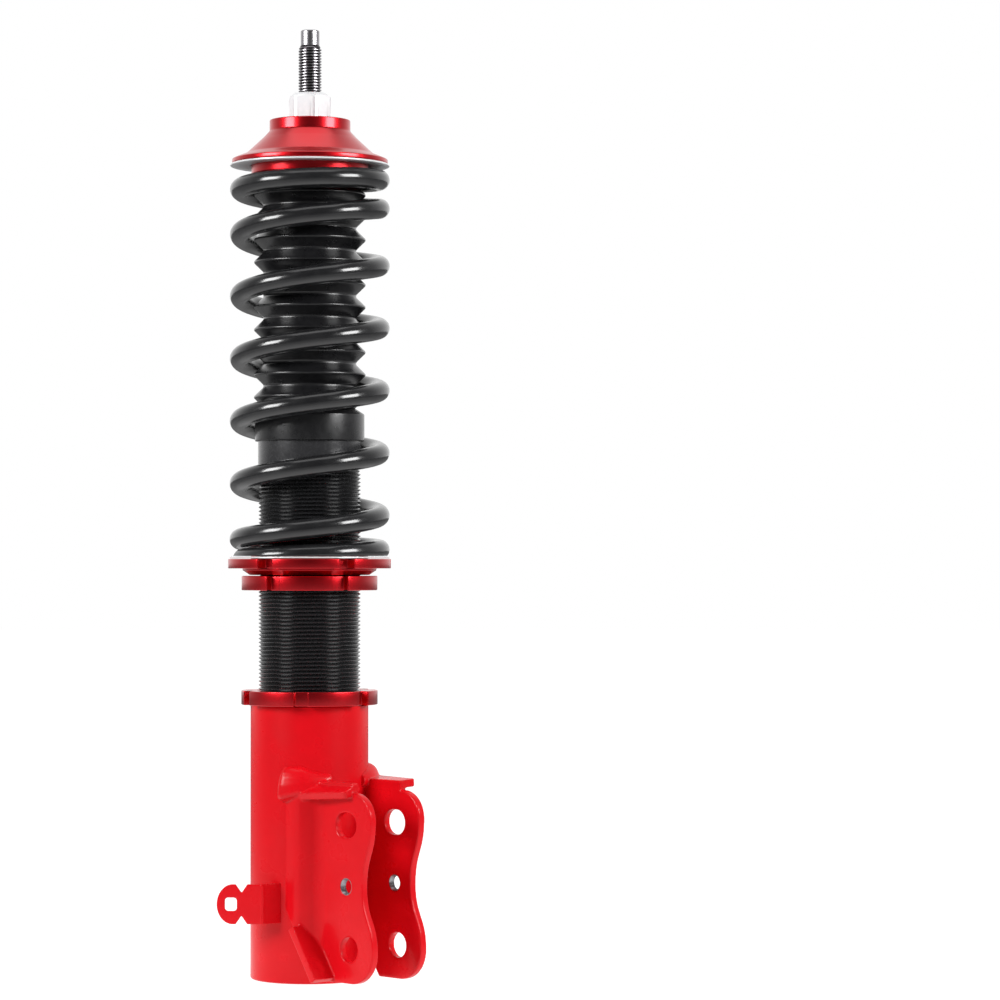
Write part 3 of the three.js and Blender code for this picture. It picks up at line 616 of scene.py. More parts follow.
def earOutline():
    shape = earShape
    outerY = shape["gap"] / 2 + shape["sheet"]
    root = sqrt(levels["tubeRadius"] ** 2 - outerY ** 2) - 2
    upper = (shape["upperReach"] - shape["upperCorner"], shape["top"] - shape["upperCorner"])
    lower = (shape["lowerReach"] - shape["lowerCorner"], shape["bottom"] + shape["lowerCorner"])
    waist = (shape["waistReach"], shape["middleHole"][1])
    climb = (braceShape["foot"] - root) * tan(radians(180 - braceShape["angle"]))
    flangeTop = shape["top"] + flangeShape["rise"]
    outline = [(braceShape["foot"], shape["bottom"])]
    outline += arc(lower, shape["lowerCorner"], -90, 0)
    halfLow = (waist[1] - lower[1]) / 2
    halfHigh = (upper[1] - waist[1]) / 2
    outline += bent((shape["lowerReach"], lower[1]), (shape["lowerReach"], lower[1] + halfLow),
                    (waist[0], waist[1] - halfLow), waist)
    outline += bent(waist, (waist[0], waist[1] + halfHigh),
                    (shape["upperReach"], upper[1] - halfHigh), (shape["upperReach"], upper[1]))
    outline += arc(upper, shape["upperCorner"], 0, 90)[1:]
    outline += [(flangeShape["end"] + flangeShape["reliefEnd"], shape["top"])]
    across, above = flangeShape["reliefCentre"]
    outline += arc((flangeShape["end"] + across, shape["top"] + above), flangeShape["reliefRadius"],
                   -30, -165, 20)
    outline += [(flangeShape["end"], flangeTop), (root, flangeTop),
                (root, shape["bottom"] + climb)]
    return outline


def roundHole(spot, stretch=0):
    x, z, radius = spot
    return arc((x + stretch / 2, z), radius, -90, 90) + arc((x - stretch / 2, z), radius, 90, 270)


def box(sizes, middle):
    mesh = bpy.data.meshes.new("box")
    sheet = bmesh.new()
    bmesh.ops.create_cube(sheet, size=1)
    sheet.to_mesh(mesh)
    sheet.free()
    mesh.transform(Matrix.Diagonal((*[s * millimetre for s in sizes], 1)))
    mesh.transform(Matrix.Translation([m * millimetre for m in middle]))
    return mesh


def moved(mesh, *steps):
    for step in steps:
        mesh.transform(step)
    return mesh


def shift(x, y, z):
    return Matrix.Translation((x * millimetre, y * millimetre, z * millimetre))


def topFlange(droop):
    inner = earShape["gap"] / 2
    outline = [(flangeShape["start"], 0), (flangeShape["end"], 0),
               (flangeShape["end"], flangeShape["endWidth"] + earShape["sheet"]),
               (flangeShape["start"], levels["tubeRadius"] - inner)]
    outline = [(p[0], p[1]) for p in softened(
        [(*outline[0], 0), (*outline[1], 0), (*outline[2], 1.5), (*outline[3], 5)])]
    mesh = plate([outline], earShape["sheet"])
    return moved(mesh, shift(0, 0, -earShape["sheet"]), Matrix.Rotation(-radians(droop), 4, "X"),
                 shift(0, inner, earShape["top"] + flangeShape["rise"]))


def lowerBrace(reach):
    sheet = earShape["sheet"]
    width = reach + sheet
    mesh = box((braceShape["length"], width, sheet), (braceShape["length"] / 2, 0, -sheet / 2))
    return moved(mesh, Matrix.Rotation(-radians(braceShape["angle"]), 4, "Y"),
                 shift(braceShape["foot"], earShape["gap"] / 2 + width / 2, earShape["bottom"]))


def braceLine(x):
    # height of the brace's upper face above a point x outboard
    return earShape["bottom"] + (braceShape["foot"] - x) * tan(radians(180 - braceShape["angle"]))


def earWrap():
    # the stretch of sheet that lies round the tube, trimmed along the brace
    shape = earShape
    inner = levels["tubeRadius"] - wrapShape["sunk"]
    outer = levels["tubeRadius"] + wrapShape["proud"] + shape["sheet"]
    start, end = shape["wrap"]
    steps = wrapShape["steps"]
    loops = []
    for k in range(steps + 1):
        angle = radians(start + (end - start) * k / steps)
        worn = max(0, (k / steps - bendShape["taperFrom"]) / (1 - bendShape["taperFrom"]))
        rim = inner + (outer - inner) * (1 - wrapShape["worn"] * worn * worn * (3 - 2 * worn))
        bottom = [braceLine(r * cos(angle)) - wrapShape["belowBrace"] for r in (inner, rim)]
        loops.append([
            (inner * cos(angle), inner * sin(angle), max(bottom[0], 1)),
            (rim * cos(angle), rim * sin(angle), max(bottom[1], 1)),
            (rim * cos(angle), rim * sin(angle), shape["wrapTop"]),
            (inner * cos(angle), inner * sin(angle), shape["wrapTop"])])
    mesh = lofted("wrap", loops)
    return capped(mesh)


def capped(mesh):
    sheet = bmesh.new()
    sheet.from_mesh(mesh)
    rims = [edge for edge in sheet.edges if edge.is_boundary]
    bmesh.ops.holes_fill(sheet, edges=rims, sides=0)
    bmesh.ops.recalc_face_normals(sheet, faces=sheet.faces)
    sheet.to_mesh(mesh)
    sheet.free()
    return mesh


def flangeWeld(droop):
    # the fillet weld in the corner between the top flange and the tube: full at its outer end,
    # running out to nothing at the ear
    shape = weldShape
    loops = []
    steps = shape["steps"]
    flangeTop = earShape["top"] + flangeShape["rise"]
    for k in range(steps + 1):
        t = k / steps
        angle = radians(shape["from"] + (shape["to"] - shape["from"]) * t)
        nose = min(1, t / shape["nose"])
        fallen = max(0, t - shape["full"]) / (1 - shape["full"])
        swell = sqrt(1 - (1 - nose) ** 2) * (1 - (1 - shape["left"]) * fallen)
        outward = Vector((cos(angle), sin(angle), 0))
        spot = outward * (levels["tubeRadius"] - wrapShape["sunk"])
        seam = flangeTop - (spot.y - earShape["gap"] / 2) * tan(radians(droop)) - shape["seam"]
        rise = shape["tail"] + (shape["crown"] - seam) * swell
        out = shape["tail"] + shape["out"] * swell
        centre = spot + Vector((0, 0, seam))
        loop = []
        for i in range(shape["sides"]):
            turn = 2 * pi * i / shape["sides"]
            up = rise if sin(turn) > 0 else shape["root"] + shape["drop"] * swell
            loop.append(centre + outward * out * cos(turn) + Vector((0, 0, up * sin(turn))))
        loops.append(loop)
    return capped(lofted("weld", loops))


def bendFillet():
    # fills the valley where the wrap turns into the flat of the ear
    face = earShape["gap"] / 2 + earShape["sheet"]
    wrap = levels["tubeRadius"] + wrapShape["proud"] + earShape["sheet"]
    radius = bendShape["radius"]
    centre = (sqrt((wrap + radius) ** 2 - (face + radius) ** 2), face + radius)
    start = degrees(atan2(-centre[1], -centre[0])) % 360
    outline = arc(centre, radius, start, 270, 4)
    outline += [(centre[0], face - 2), (sqrt(wrap ** 2 - face ** 2) - 3, face - 2)]
    shrink = (wrap - 1.5) / hypot(*centre)
    outline += [(centre[0] * shrink, centre[1] * shrink)]
    bottom = braceLine(outline[0][0])
    mesh = plate([outline], earShape["wrapTop"] + 2 - bottom)
    return moved(mesh, shift(0, 0, bottom))


def knuckleEar(name, side, droop, reach):
    shape = earShape
    sheet = upright(plate([
        earOutline(),
        roundHole(shape["upperHole"], shape["slot"]),
        roundHole(shape["middleHole"]),
        roundHole(shape["lowerHole"]),
    ], shape["sheet"]), shape["gap"] / 2)
    whole = joined(name, [sheet, earWrap(), bendFillet(), topFlange(droop), lowerBrace(reach),
                          flangeWeld(droop)])
    cutter = boreCutter(levels["tubeRadius"] - hollowDepth, -20, levels["tubeTop"])
    mesh = skinned(whole, shape["grain"], shape["rounds"], cutter)
    dropped(cutter)
    mesh.name = name
    if side < 0:
        mesh.transform(Matrix.Scale(-1, 4, (0, 1, 0)))
        mesh.flip_normals()
    return mesh


tabShape = {
    "sheet": 2.4, "bottom": 31, "top": 51.3, "foot": -72,
    "leg": 10.2, "legHeading": -97, "plate": 23, "plateHeading": -136,
    "slot": (6.2, 6.8, 1.6), "slotFromTip": 7.2,
    "notchFromTip": 12.6, "notchDepth": 4.4, "notchHalf": 3.0,
    "grain": 0.3, "rounds": 4,
}


def brakeLineTab():
    shape = tabShape
    half = (shape["top"] - shape["bottom"]) / 2
    middle = (shape["top"] + shape["bottom"]) / 2
    notch = shape["plate"] - shape["notchFromTip"]
    round_ = half * 0.8
    tip = shape["plate"] - round_
    lower = [(-1, -half), (notch - shape["notchHalf"], -half), (notch, shape["notchDepth"] - half),
             (notch + shape["notchHalf"], -half)]
    nose = [(tip + round_ * cos(radians(a)), half * sin(radians(a))) for a in range(-86, 87, 4)]
    upper = [(x, -z) for x, z in reversed(lower)]
    outline = lower + nose + upper
    centre = shape["plate"] - shape["slotFromTip"]
    wide, tall, corner = shape["slot"]
    slot = softened([(centre + sx * wide / 2, sz * tall / 2, corner)
                     for sx, sz in ((-1, -1), (1, -1), (1, 1), (-1, 1))], step=20)
    face = upright(plate([outline, [(p[0], p[1]) for p in slot]], shape["sheet"]), -shape["sheet"] / 2)
    foot = Vector((cos(radians(shape["foot"])), sin(radians(shape["foot"])))) * levels["tubeRadius"]
    heading = Vector((cos(radians(shape["legHeading"])), sin(radians(shape["legHeading"]))))
    elbow = foot + heading * shape["leg"]
    moved(face, Matrix.Rotation(radians(shape["plateHeading"]), 4, "Z"),
          shift(elbow.x, elbow.y, middle))
    leg = box((shape["leg"] + shape["sheet"] + 2, shape["sheet"], 2 * half), (-1, 0, 0))
    halfway = foot + heading * shape["leg"] / 2
    moved(leg, Matrix.Rotation(radians(shape["legHeading"]), 4, "Z"),
          shift(halfway.x, halfway.y, middle))
    whole = joined("brakeLineTab", [face, leg])
    cutter = boreCutter(levels["tubeRadius"] - hollowDepth, 0, levels["tubeTop"])
    mesh = skinned(whole, shape["grain"], shape["rounds"], cutter)
    dropped(cutter)
    mesh.name = "brakeLineTab"
    return mesh


holeThread = {"outer": 4.35, "crest": 3.6, "root": 4.0, "pitch": 1.25}


def middleHoleThread(side):
    # bare cut thread in the small middle hole, left free of paint
    shape = holeThread
    x, z, _ = earShape["middleHole"]
    inner = earShape["gap"] / 2 + 0.35
    length = earShape["sheet"] - 0.7
    teeth = round(length / shape["pitch"])
    profile = [(shape["outer"], length), (shape["outer"], 0)]
    for k in range(teeth):
        profile.append((shape["root"], length * k / teeth))
        profile.append((shape["crest"], length * (k + 0.5) / teeth))
    profile.append((shape["root"], length))
    mesh = turned("middleHoleThread", profile, 48)
    return moved(mesh, Matrix.Rotation(-radians(90) * side, 4, "X"), shift(x, side * inner, z))


piece("bracketTube", bracketTube(), "lower_bracket", "red_powder_coat", ["bracket_tube"])
piece("basePlate", basePlate(), "lower_bracket", "red_powder_coat", ["bracket_base_plate"])
piece("knuckleEarNear",
      knuckleEar("knuckleEarNear", -1, flangeShape["nearDroop"], braceShape["nearReach"]),
      "lower_bracket", "red_powder_coat", ["knuckle_ear_near"], crease=60)
piece("knuckleEarFar",
      knuckleEar("knuckleEarFar", 1, flangeShape["farDroop"], braceShape["farReach"]),
      "lower_bracket", "red_powder_coat", ["knuckle_ear_far"], crease=60)
piece("brakeLineTab", brakeLineTab(), "lower_bracket", "red_powder_coat",
      ["brake_line_tab"], crease=60)
for hand, side in (("Near", -1), ("Far", 1)):
    piece("middleHoleThread" + hand, middleHoleThread(side), "lower_bracket", "plain_steel", [])
print("lower bracket made")


def threadedRod(name, head, thread, tail, count):
    # head and tail are open profiles of (radius, height, corner radius), below and above the thread
    low_, high_, crest, root, pitch = (thread[k] for k in ("bottom", "top", "crest", "root", "pitch"))
    rows = thread["rows"]
    flat = thread["flat"]
    turns = ceil((high_ - low_) / pitch) + 1
    lower = softened(head, closed=False)
    upper = softened(tail, closed=False)

    def radiusAt(phase):
        # a rounded vee: flat crest, straight flanks, rounded root
        away = abs(phase - 0.5) * 2
        rise = min(1, max(0, (away - flat) / (1 - 2 * flat)))
        return root + (crest - root) * rise

    columns = []
    for i in range(count):
        angle = 2 * pi * i / count
        column = [(p[0], p[1]) for p in lower]
        for j in range(turns * rows + 1):
            height = low_ - pitch + j * pitch / rows + pitch * i / count
            fade = min(1, max(0, (height - low_) / pitch), max(0, (high_ - height) / pitch))
            radius = root + (radiusAt((j / rows) % 1) - root) * fade
            column.append((radius, min(max(height, low_), high_)))
        column += [(p[0], p[1]) for p in upper]
        columns.append([(r * cos(angle), r * sin(angle), z) for r, z in column])
    points = [Vector(p) * millimetre for column in columns for p in column]
    size = len(columns[0])
    first, last = len(lower), len(lower) + turns * rows
    faces = []
    for i in range(count):
        right = (i + 1) % count

        def across(j):
            # the last column meets the first one pitch further up the thread
            if right or j < first or j > last:
                return right * size + j
            return right * size + min(j + rows, last)

        for j in range(size - 1):
            faces.append((i * size + j, across(j), across(j + 1), i * size + j + 1))
        if thread.get("hollow"):
            faces.append((i * size + size - 1, right * size + size - 1, right * size, i * size))
    mesh = bpy.data.meshes.new(name)
    mesh.from_pydata(points, [], faces)
    return cleaned(mesh)


bodyThread = {"pitch": 2.0, "crest": 26.5, "root": 25.25, "flat": 0.16, "rows": 6, "top": 264.0,
              "bottom": 26.5, "hollow": True}
bodyShape = {"bore": 22.0, "collarRound": 0.8, "footBevel": 0.8, "footRise": 0.9,
             "step": 0.2, "stepRise": 0.3, "collarRise": 1.0}


def bodyTube():
    top = levels["bodyTop"]
    bottom = levels["bodyBottom"]
    bore = bodyShape["bore"]
    collar = levels["collarRadius"]
    root, start, end = (bodyThread[k] for k in ("root", "bottom", "top"))
    head = [(bore, bottom), (root - bodyShape["footBevel"], bottom, 0.3),
            (root, bottom + bodyShape["footRise"], 0.2), (root, start)]
    tail = [(root, end), (root + bodyShape["step"], end + bodyShape["stepRise"]),
            (collar, end + bodyShape["collarRise"], 0.4), (collar, top, bodyShape["collarRound"]),
            (bore, top)]
    return threadedRod("bodyTube", head, bodyThread, tail, 96)


piece("bodyTube", bodyTube(), "damper_body", "black_thread", ["body_tube"], crease=80)


rodThread = {"pitch": 1.5, "crest": 6.0, "root": 5.2, "flat": 0.24, "rows": 8,
             "top": 483.4, "bottom": 429.0}
rodShape = {"radius": 10.0, "spigot": 5.0, "shoulder": 239.7, "seat": 427.6, "tip": 4.85,
            "tipRise": 0.6, "dimple": (1.6, 2.1), "dimpleDepth": (0.7, 0.9)}


def pistonRod():
    bottom = low("piston_rod")
    top = high("piston_rod")
    shape = rodShape
    head = [(0, bottom), (shape["spigot"], bottom, 0.6), (shape["spigot"], shape["shoulder"], 0.3),
            (shape["radius"], shape["shoulder"], 0.5), (shape["radius"], shape["seat"], 0.5),
            (rodThread["root"], shape["seat"], 0.3), (rodThread["root"], rodThread["bottom"])]
    rim, floor = (shape["tip"] - inward for inward in shape["dimple"])
    wall, middle = (top - depth for depth in shape["dimpleDepth"])
    tail = [(rodThread["root"], rodThread["top"]), (shape["tip"], rodThread["top"] + shape["tipRise"], 0.2),
            (shape["tip"], top, 0.9), (rim, top, 0.3), (floor, wall, 0.3), (0, middle)]
    return threadedRod("pistonRod", head, rodThread, tail, 72)


piece("pistonRod", pistonRod(), "rod_assembly", "chromed_rod", ["piston_rod"], crease=50)
print("threads made")


ringShape = {"bore": 26.8, "radius": 35.3, "notches": 6, "width": 7.2, "depth": 4.4,
             "corner": 0.5, "root": 0.6, "edge": 0.45, "bevel": 0.8, "turn": -48.5, "perchTurn": -73.3}
perchShape = {"bore": 26.8, "radius": 42.3, "notches": 6, "width": 8.5, "depth": 7.5,
              "corner": 0.6, "root": 0.8, "edge": 0.4, "hub": 34.8, "taper": 3.8,
              "hubHeight": 3.4, "flange": 4.9, "pilot": 30.4, "bottom": 208.7, "turn": -74}


def notchedOutline(shape, firstAngle):
    points = []
    outer, inner = shape["radius"], shape["radius"] - shape["depth"]
    edge = degrees(shape["width"] / 2 / outer)
    pitch = 360 / shape["notches"]
    for i in range(shape["notches"]):
        middle = firstAngle + i * pitch
        turn = radians(middle)
        half = shape["width"] / 2
        for along, side, corner in ((sqrt(outer ** 2 - half ** 2), -1, "corner"), (inner, -1, "root"),
                                    (inner, 1, "root"), (sqrt(outer ** 2 - half ** 2), 1, "corner")):
            points.append((along * cos(turn) - side * half * sin(turn),
                           along * sin(turn) + side * half * cos(turn), shape[corner]))
        start, end = middle + edge, middle + pitch - edge
        parts = ceil((end - start) / 2.5)
        for k in range(1, parts):
            angle = radians(start + (end - start) * k / parts)
            points.append((outer * cos(angle), outer * sin(angle), 0))
    return [Vector(p[:2]) for p in softened(points)]


def inset(outline, amount):
    path = []
    count = len(outline)
    for i, here in enumerate(outline):
        along = (outline[(i + 1) % count] - outline[i - 1]).normalized()
        path.append(here - Vector((along.y, -along.x)) * amount)
    return path


def level(outline, height):
    return [(p.x, p.y, height) for p in outline]


def matched(outline, radius, height):
    # a circle whose points stand at the outline's own angles
    return [(radius * p.x / p.length, radius * p.y / p.length, height) for p in outline]


def edgeLoops(outline, bottom, top, edge, steps=4):
    # the outline's side wall with both edges rounded
    loops = []
    for corner, turn in ((bottom + edge, -1), (top - edge, 1)):
        for k in range(steps + 1):
            share = k / steps if turn > 0 else 1 - k / steps
            angle = share * pi / 2
            loops.append(level(inset(outline, edge * (1 - cos(angle))), corner + turn * edge * sin(angle)))
    return loops


def lockRing(name, node, firstAngle):
    shape = ringShape
    bottom, top = low(node), high(node)
    outline = notchedOutline(shape, firstAngle)
    bore, bevel = shape["bore"], shape["bevel"]
    loops = edgeLoops(outline, bottom, top, shape["edge"])
    loops += [matched(outline, bore + bevel, top), matched(outline, bore, top - bevel),
              matched(outline, bore, bottom + bevel), matched(outline, bore + bevel, bottom)]
    return lofted(name, loops, endless=True)


def lowerPerch():
    shape = perchShape
    bottom = shape["bottom"]
    flangeBottom = bottom + shape["hubHeight"]
    flangeTop = flangeBottom + shape["flange"]
    top = high("lower_perch")
    bore = shape["bore"]
    outline = notchedOutline(shape, shape["turn"])
    hub = softened([(bore, bottom, 0.6), (shape["hub"] - shape["taper"], bottom, 0.5),
                    (shape["hub"], flangeBottom - 0.9, 0.4), (shape["hub"], flangeBottom)], closed=False)
    pilot = softened([(shape["pilot"], flangeTop), (shape["pilot"], top, 1.2), (bore, top, 0.6),
                      (bore, bottom + 1)], closed=False)
    loops = [matched(outline, p.x, p.y) for p in hub]
    loops += edgeLoops(outline, flangeBottom, flangeTop, shape["edge"])
    loops += [matched(outline, p.x, p.y) for p in pilot]
    return lofted("lowerPerch", loops, endless=True)


piece("bracketLockRing", lockRing("bracketLockRing", "bracket_lock_ring", ringShape["turn"]), "bracket_ring",
      "red_anodised_alloy", ["bracket_lock_ring"])
piece("perchLockRing", lockRing("perchLockRing", "perch_lock_ring", ringShape["perchTurn"]), "perch_ring",
      "red_anodised_alloy", ["perch_lock_ring"])
piece("lowerPerch", lowerPerch(), "perch", "red_anodised_alloy", ["lower_perch"])
print("rings and perch made")


washerShape = {"inner": 30.7, "outer": 41.4, "round": 0.35}


def slipWasher(name, node):
    shape = washerShape
    bottom, top = low(node), high(node)
    return turned(name, [(shape["inner"], bottom, shape["round"]), (shape["outer"], bottom, shape["round"]),
                         (shape["outer"], top, shape["round"]), (shape["inner"], top, shape["round"])], 160)


springShape = {"turns": 7.75, "wire": 5.25, "mean": 36.25, "topAngle": 157, "steps": 60, "sides": 32,
               "topClosed": 0.75, "topOpening": 1.9, "bottomClosed": 0.9, "bottomOpening": 0.85,
               "topDepth": 3.5, "bottomDepth": -1.4}


def opened(u, length):
    # the coil opens fast as it leaves a closed end and eases into the even pitch
    x = min(1, max(0, u / length))
    return length * (x - (1 - (1 - x) ** 4) / 4) + max(0, u - length)


def springLine():
    # down from the top end: closed ends with the wire's own thickness as their pitch, and one
    # even pitch between them
    shape = springShape
    top = low("upper_slip_washer") - clearance
    length = top - high("lower_slip_washer") - clearance
    closedPitch = 2 * shape["wire"]
    travel = length - shape["topDepth"] - shape["bottomDepth"]
    whole = (shape["turns"] - shape["topClosed"] - shape["bottomClosed"]
             - (shape["topOpening"] + shape["bottomOpening"]) / 4)
    opening = (travel - closedPitch * shape["turns"]) / whole
    lastOpen = shape["turns"] - shape["bottomClosed"]
    count = round(shape["turns"] * shape["steps"])
    line = []
    for k in range(count + 1):
        fromTop = shape["turns"] * k / count
        if fromTop < lastOpen - shape["bottomOpening"]:
            covered = opened(fromTop - shape["topClosed"], shape["topOpening"])
        else:
            covered = whole - opened(lastOpen - fromTop, shape["bottomOpening"])
        angle = radians(shape["topAngle"]) - 2 * pi * fromTop
        height = top - shape["topDepth"] - closedPitch * fromTop - opening * covered
        line.append((shape["mean"] * cos(angle), shape["mean"] * sin(angle), height))
    return line


def groundEnds(nodes, links, wire, line):
    # presses the swept wire flat beyond the two end faces, which move with the centre line
    shape = springShape
    span = nodes.new("GeometryNodeBoundBox")
    links.new(line, span.inputs["Geometry"])
    spot = apartOf(nodes, links, nodes.new("GeometryNodeInputPosition").outputs[0])
    height = spot["Z"]
    for corner, inward, rule in (("Min", -shape["bottomDepth"], "MAXIMUM"),
                                 ("Max", shape["topDepth"], "MINIMUM")):
        end = apartOf(nodes, links, span.outputs[corner])["Z"]
        face = sumOf(nodes, links, "ADD", end, inward * millimetre)
        height = sumOf(nodes, links, rule, height, face)
    together = togetherOf(nodes, links, X=spot["X"], Y=spot["Y"], Z=height)
    pressed = nodes.new("GeometryNodeSetPosition")
    links.new(wire, pressed.inputs["Geometry"])
    links.new(together, pressed.inputs["Position"])
    return pressed.outputs["Geometry"]


def coilSpring():
    # only the wire's centre line is a mesh; the wire is swept along it afterwards, so that it
    # stays round when the spring closes up
    shape = springShape
    line = springLine()
    mesh = bpy.data.meshes.new("coilSpring")
    mesh.from_pydata([Vector(p) * millimetre for p in line], [(k, k + 1) for k in range(len(line) - 1)], [])
    thing = bpy.data.objects.new("coilSpring", mesh)
    bpy.context.collection.objects.link(thing)
    mesh.materials.append(finishes["spring_paint"])
    tree = bpy.data.node_groups.new("sweptWire", "GeometryNodeTree")
    tree.interface.new_socket("Geometry", in_out="INPUT", socket_type="NodeSocketGeometry")
    tree.interface.new_socket("Geometry", in_out="OUTPUT", socket_type="NodeSocketGeometry")
    nodes, links = tree.nodes, tree.links
    start = nodes.new("NodeGroupInput")
    toCurve = nodes.new("GeometryNodeMeshToCurve")
    section = nodes.new("GeometryNodeCurvePrimitiveCircle")
    section.inputs["Resolution"].default_value = shape["sides"]
    section.inputs["Radius"].default_value = shape["wire"] * millimetre
    upward = nodes.new("GeometryNodeSetCurveNormal")
    upward.mode = "Z_UP"
    sweep = nodes.new("GeometryNodeCurveToMesh")
    sweep.inputs["Fill Caps"].default_value = True
    smooth = nodes.new("GeometryNodeSetShadeSmooth")
    paint = nodes.new("GeometryNodeSetMaterial")
    paint.inputs["Material"].default_value = finishes["spring_paint"]
    end = nodes.new("NodeGroupOutput")
    links.new(start.outputs[0], toCurve.inputs["Mesh"])
    links.new(toCurve.outputs["Curve"], upward.inputs["Curve"])
    links.new(upward.outputs["Curve"], sweep.inputs["Curve"])
    links.new(section.outputs["Curve"], sweep.inputs["Profile Curve"])
    links.new(groundEnds(nodes, links, sweep.outputs["Mesh"], start.outputs[0]),
              smooth.inputs["Geometry"])
    links.new(smooth.outputs["Geometry"], paint.inputs["Geometry"])
    links.new(paint.outputs["Geometry"], end.inputs[0])
    sweeper = thing.modifiers.new("wire", "NODES")
    sweeper.node_group = tree
    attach(thing, "spring_platform")
    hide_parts("coil_spring")
    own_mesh(thing)
    made.append("coilSpring")
    return thing


piece("lowerSlipWasher", slipWasher("lowerSlipWasher", "lower_slip_washer"), "spring_platform",
      "zinc_plate", ["lower_slip_washer"])
piece("upperSlipWasher", slipWasher("upperSlipWasher", "upper_slip_washer"), "stroke_carrier",
      "zinc_plate", ["upper_slip_washer"])
coilSpring()
print("spring made")


seatShape = {"rim": 40.5, "rimHeight": 3.4, "shoulder": 30.7, "shoulderRise": 6.8, "neck": 21.0,
             "neckRise": 17.0, "web": 5.7, "pilot": 30.4, "pilotWall": 3.2, "pilotDrop": 6.0,
             "bolt": 6.3, "recess": 13.5, "recessDepth": 3.5}


def upperSpringSeat():
    shape = seatShape
    bottom = levels["seatBottom"]
    top = levels["seatTop"]
    rim = shape["rim"]
    floor = top - shape["recessDepth"]
    inner = shape["pilot"] - shape["pilotWall"]
    return turned("upperSpringSeat", [
        (shape["bolt"], bottom + shape["web"], 0.4), (inner - 5, bottom + shape["web"], 2.0),
        (inner, bottom + 1, 1.5), (inner, bottom - shape["pilotDrop"], 0.5),
        (shape["pilot"], bottom - shape["pilotDrop"], 1.0), (shape["pilot"], bottom, 0.3),
        (rim, bottom, 0.5), (rim, bottom + shape["rimHeight"] - 1.1, 0.8),
        (rim - 3, bottom + shape["rimHeight"] + 0.2, 1.2),
        (shape["shoulder"] + 2.4, bottom + shape["shoulderRise"] - 1.5, 4.0),
        (shape["neck"] + 3.4, bottom + shape["neckRise"] - 3.6, 5.0),
        (shape["neck"], bottom + shape["neckRise"], 2.0), (shape["neck"], top, 0.6),
        (shape["recess"], top, 0.4), (shape["recess"], floor, 0.5), (shape["bolt"], floor, 0.4),
    ], 192)


def rodWasher():
    bottom, top = low("rod_washer"), high("rod_washer")
    outer = high("rod_washer", 0)
    inner = rodThread["crest"] + clearance
    return turned("rodWasher", [(inner, bottom, 0.3), (outer, bottom, 0.5), (outer, top, 0.6),
                                (inner, top, 0.4)], 96)


nutShape = {"flats": 20.0, "turn": 32, "chamfer": 2.2, "chamferRoom": 1.2, "bore": 6.2, "edge": 0.5,
            "footIn": 0.3, "footSlope": 2.2, "crownIn": 1.9, "crownSlope": 1.35, "boreBevel": 1.0}


def topNut():
    shape = nutShape
    bottom, top = low("top_nut"), high("top_nut")
    flat = shape["flats"] / 2
    corner = flat / cos(pi / 6)
    count = 144

    def hexAt(angle):
        return flat / cos(radians(degrees(angle) % 60 - 30))

    loops = []
    heights = [bottom, bottom + 0.3, bottom + 0.6]
    crown = shape["chamfer"] + shape["chamferRoom"]
    heights += [top - shape["chamfer"] - shape["chamferRoom"] + k * crown / 9 for k in range(10)]
    for height in heights:
        lower = flat - shape["footIn"] + (height - bottom) * shape["footSlope"]
        upper = flat - shape["crownIn"] + (top - height) * shape["crownSlope"]
        ring = []
        for i in range(count):
            angle = 2 * pi * i / count
            radius = min(hexAt(angle), lower, upper, corner - shape["edge"] * 0.35)
            turn = angle + radians(shape["turn"])
            ring.append((radius * cos(turn), radius * sin(turn), height))
        loops.append(ring)
    bore, bevel = shape["bore"], shape["boreBevel"]
    for radius, height in ((bore + bevel, top), (bore, top - bevel),
                           (bore, bottom + bevel), (bore + bevel, bottom)):
        loops.append([(radius * cos(2 * pi * i / count + radians(shape["turn"])),
                       radius * sin(2 * pi * i / count + radians(shape["turn"])), height)
                      for i in range(count)])
    return lofted("topNut", loops, endless=True)


piece("upperSpringSeat", upperSpringSeat(), "rod_assembly", "red_anodised_alloy",
      ["upper_spring_seat"])
piece("rodWasher", rodWasher(), "rod_assembly", "zinc_plate", ["rod_washer"])
piece("topNut", topNut(), "rod_assembly", "zinc_plate", ["top_nut"], crease=24)
print("upper seat made")


# the dust boot is three pieces: a cuff on the body, the folds and a neck that moves
bootShape = {"cuffOverlap": 12.0, "cuff": 17.0, "wall": 1.3, "peak": 29.4, "valley": 23.4,
             "folds": 10, "neck": 10.0, "crestRound": 1.0, "rootRound": 1.6, "neckRadius": 24.9}


def bootCuff():
    shape = bootShape
    bottom = levels["bodyTop"] - shape["cuffOverlap"]
    top = bottom + shape["cuff"]
    inner = levels["collarRadius"] + clearance
    outer = inner + shape["wall"]
    return turned("bootCuff", [
        (inner, bottom, 0.4), (outer, bottom, 0.5), (outer, top - 3.0, 1.2),
        (shape["valley"] + 0.3, top, 0.2), (shape["valley"] - shape["wall"] + 0.3, top - 0.2, 0.2),
        (inner, top - 3.6, 1.0),
    ], 128)


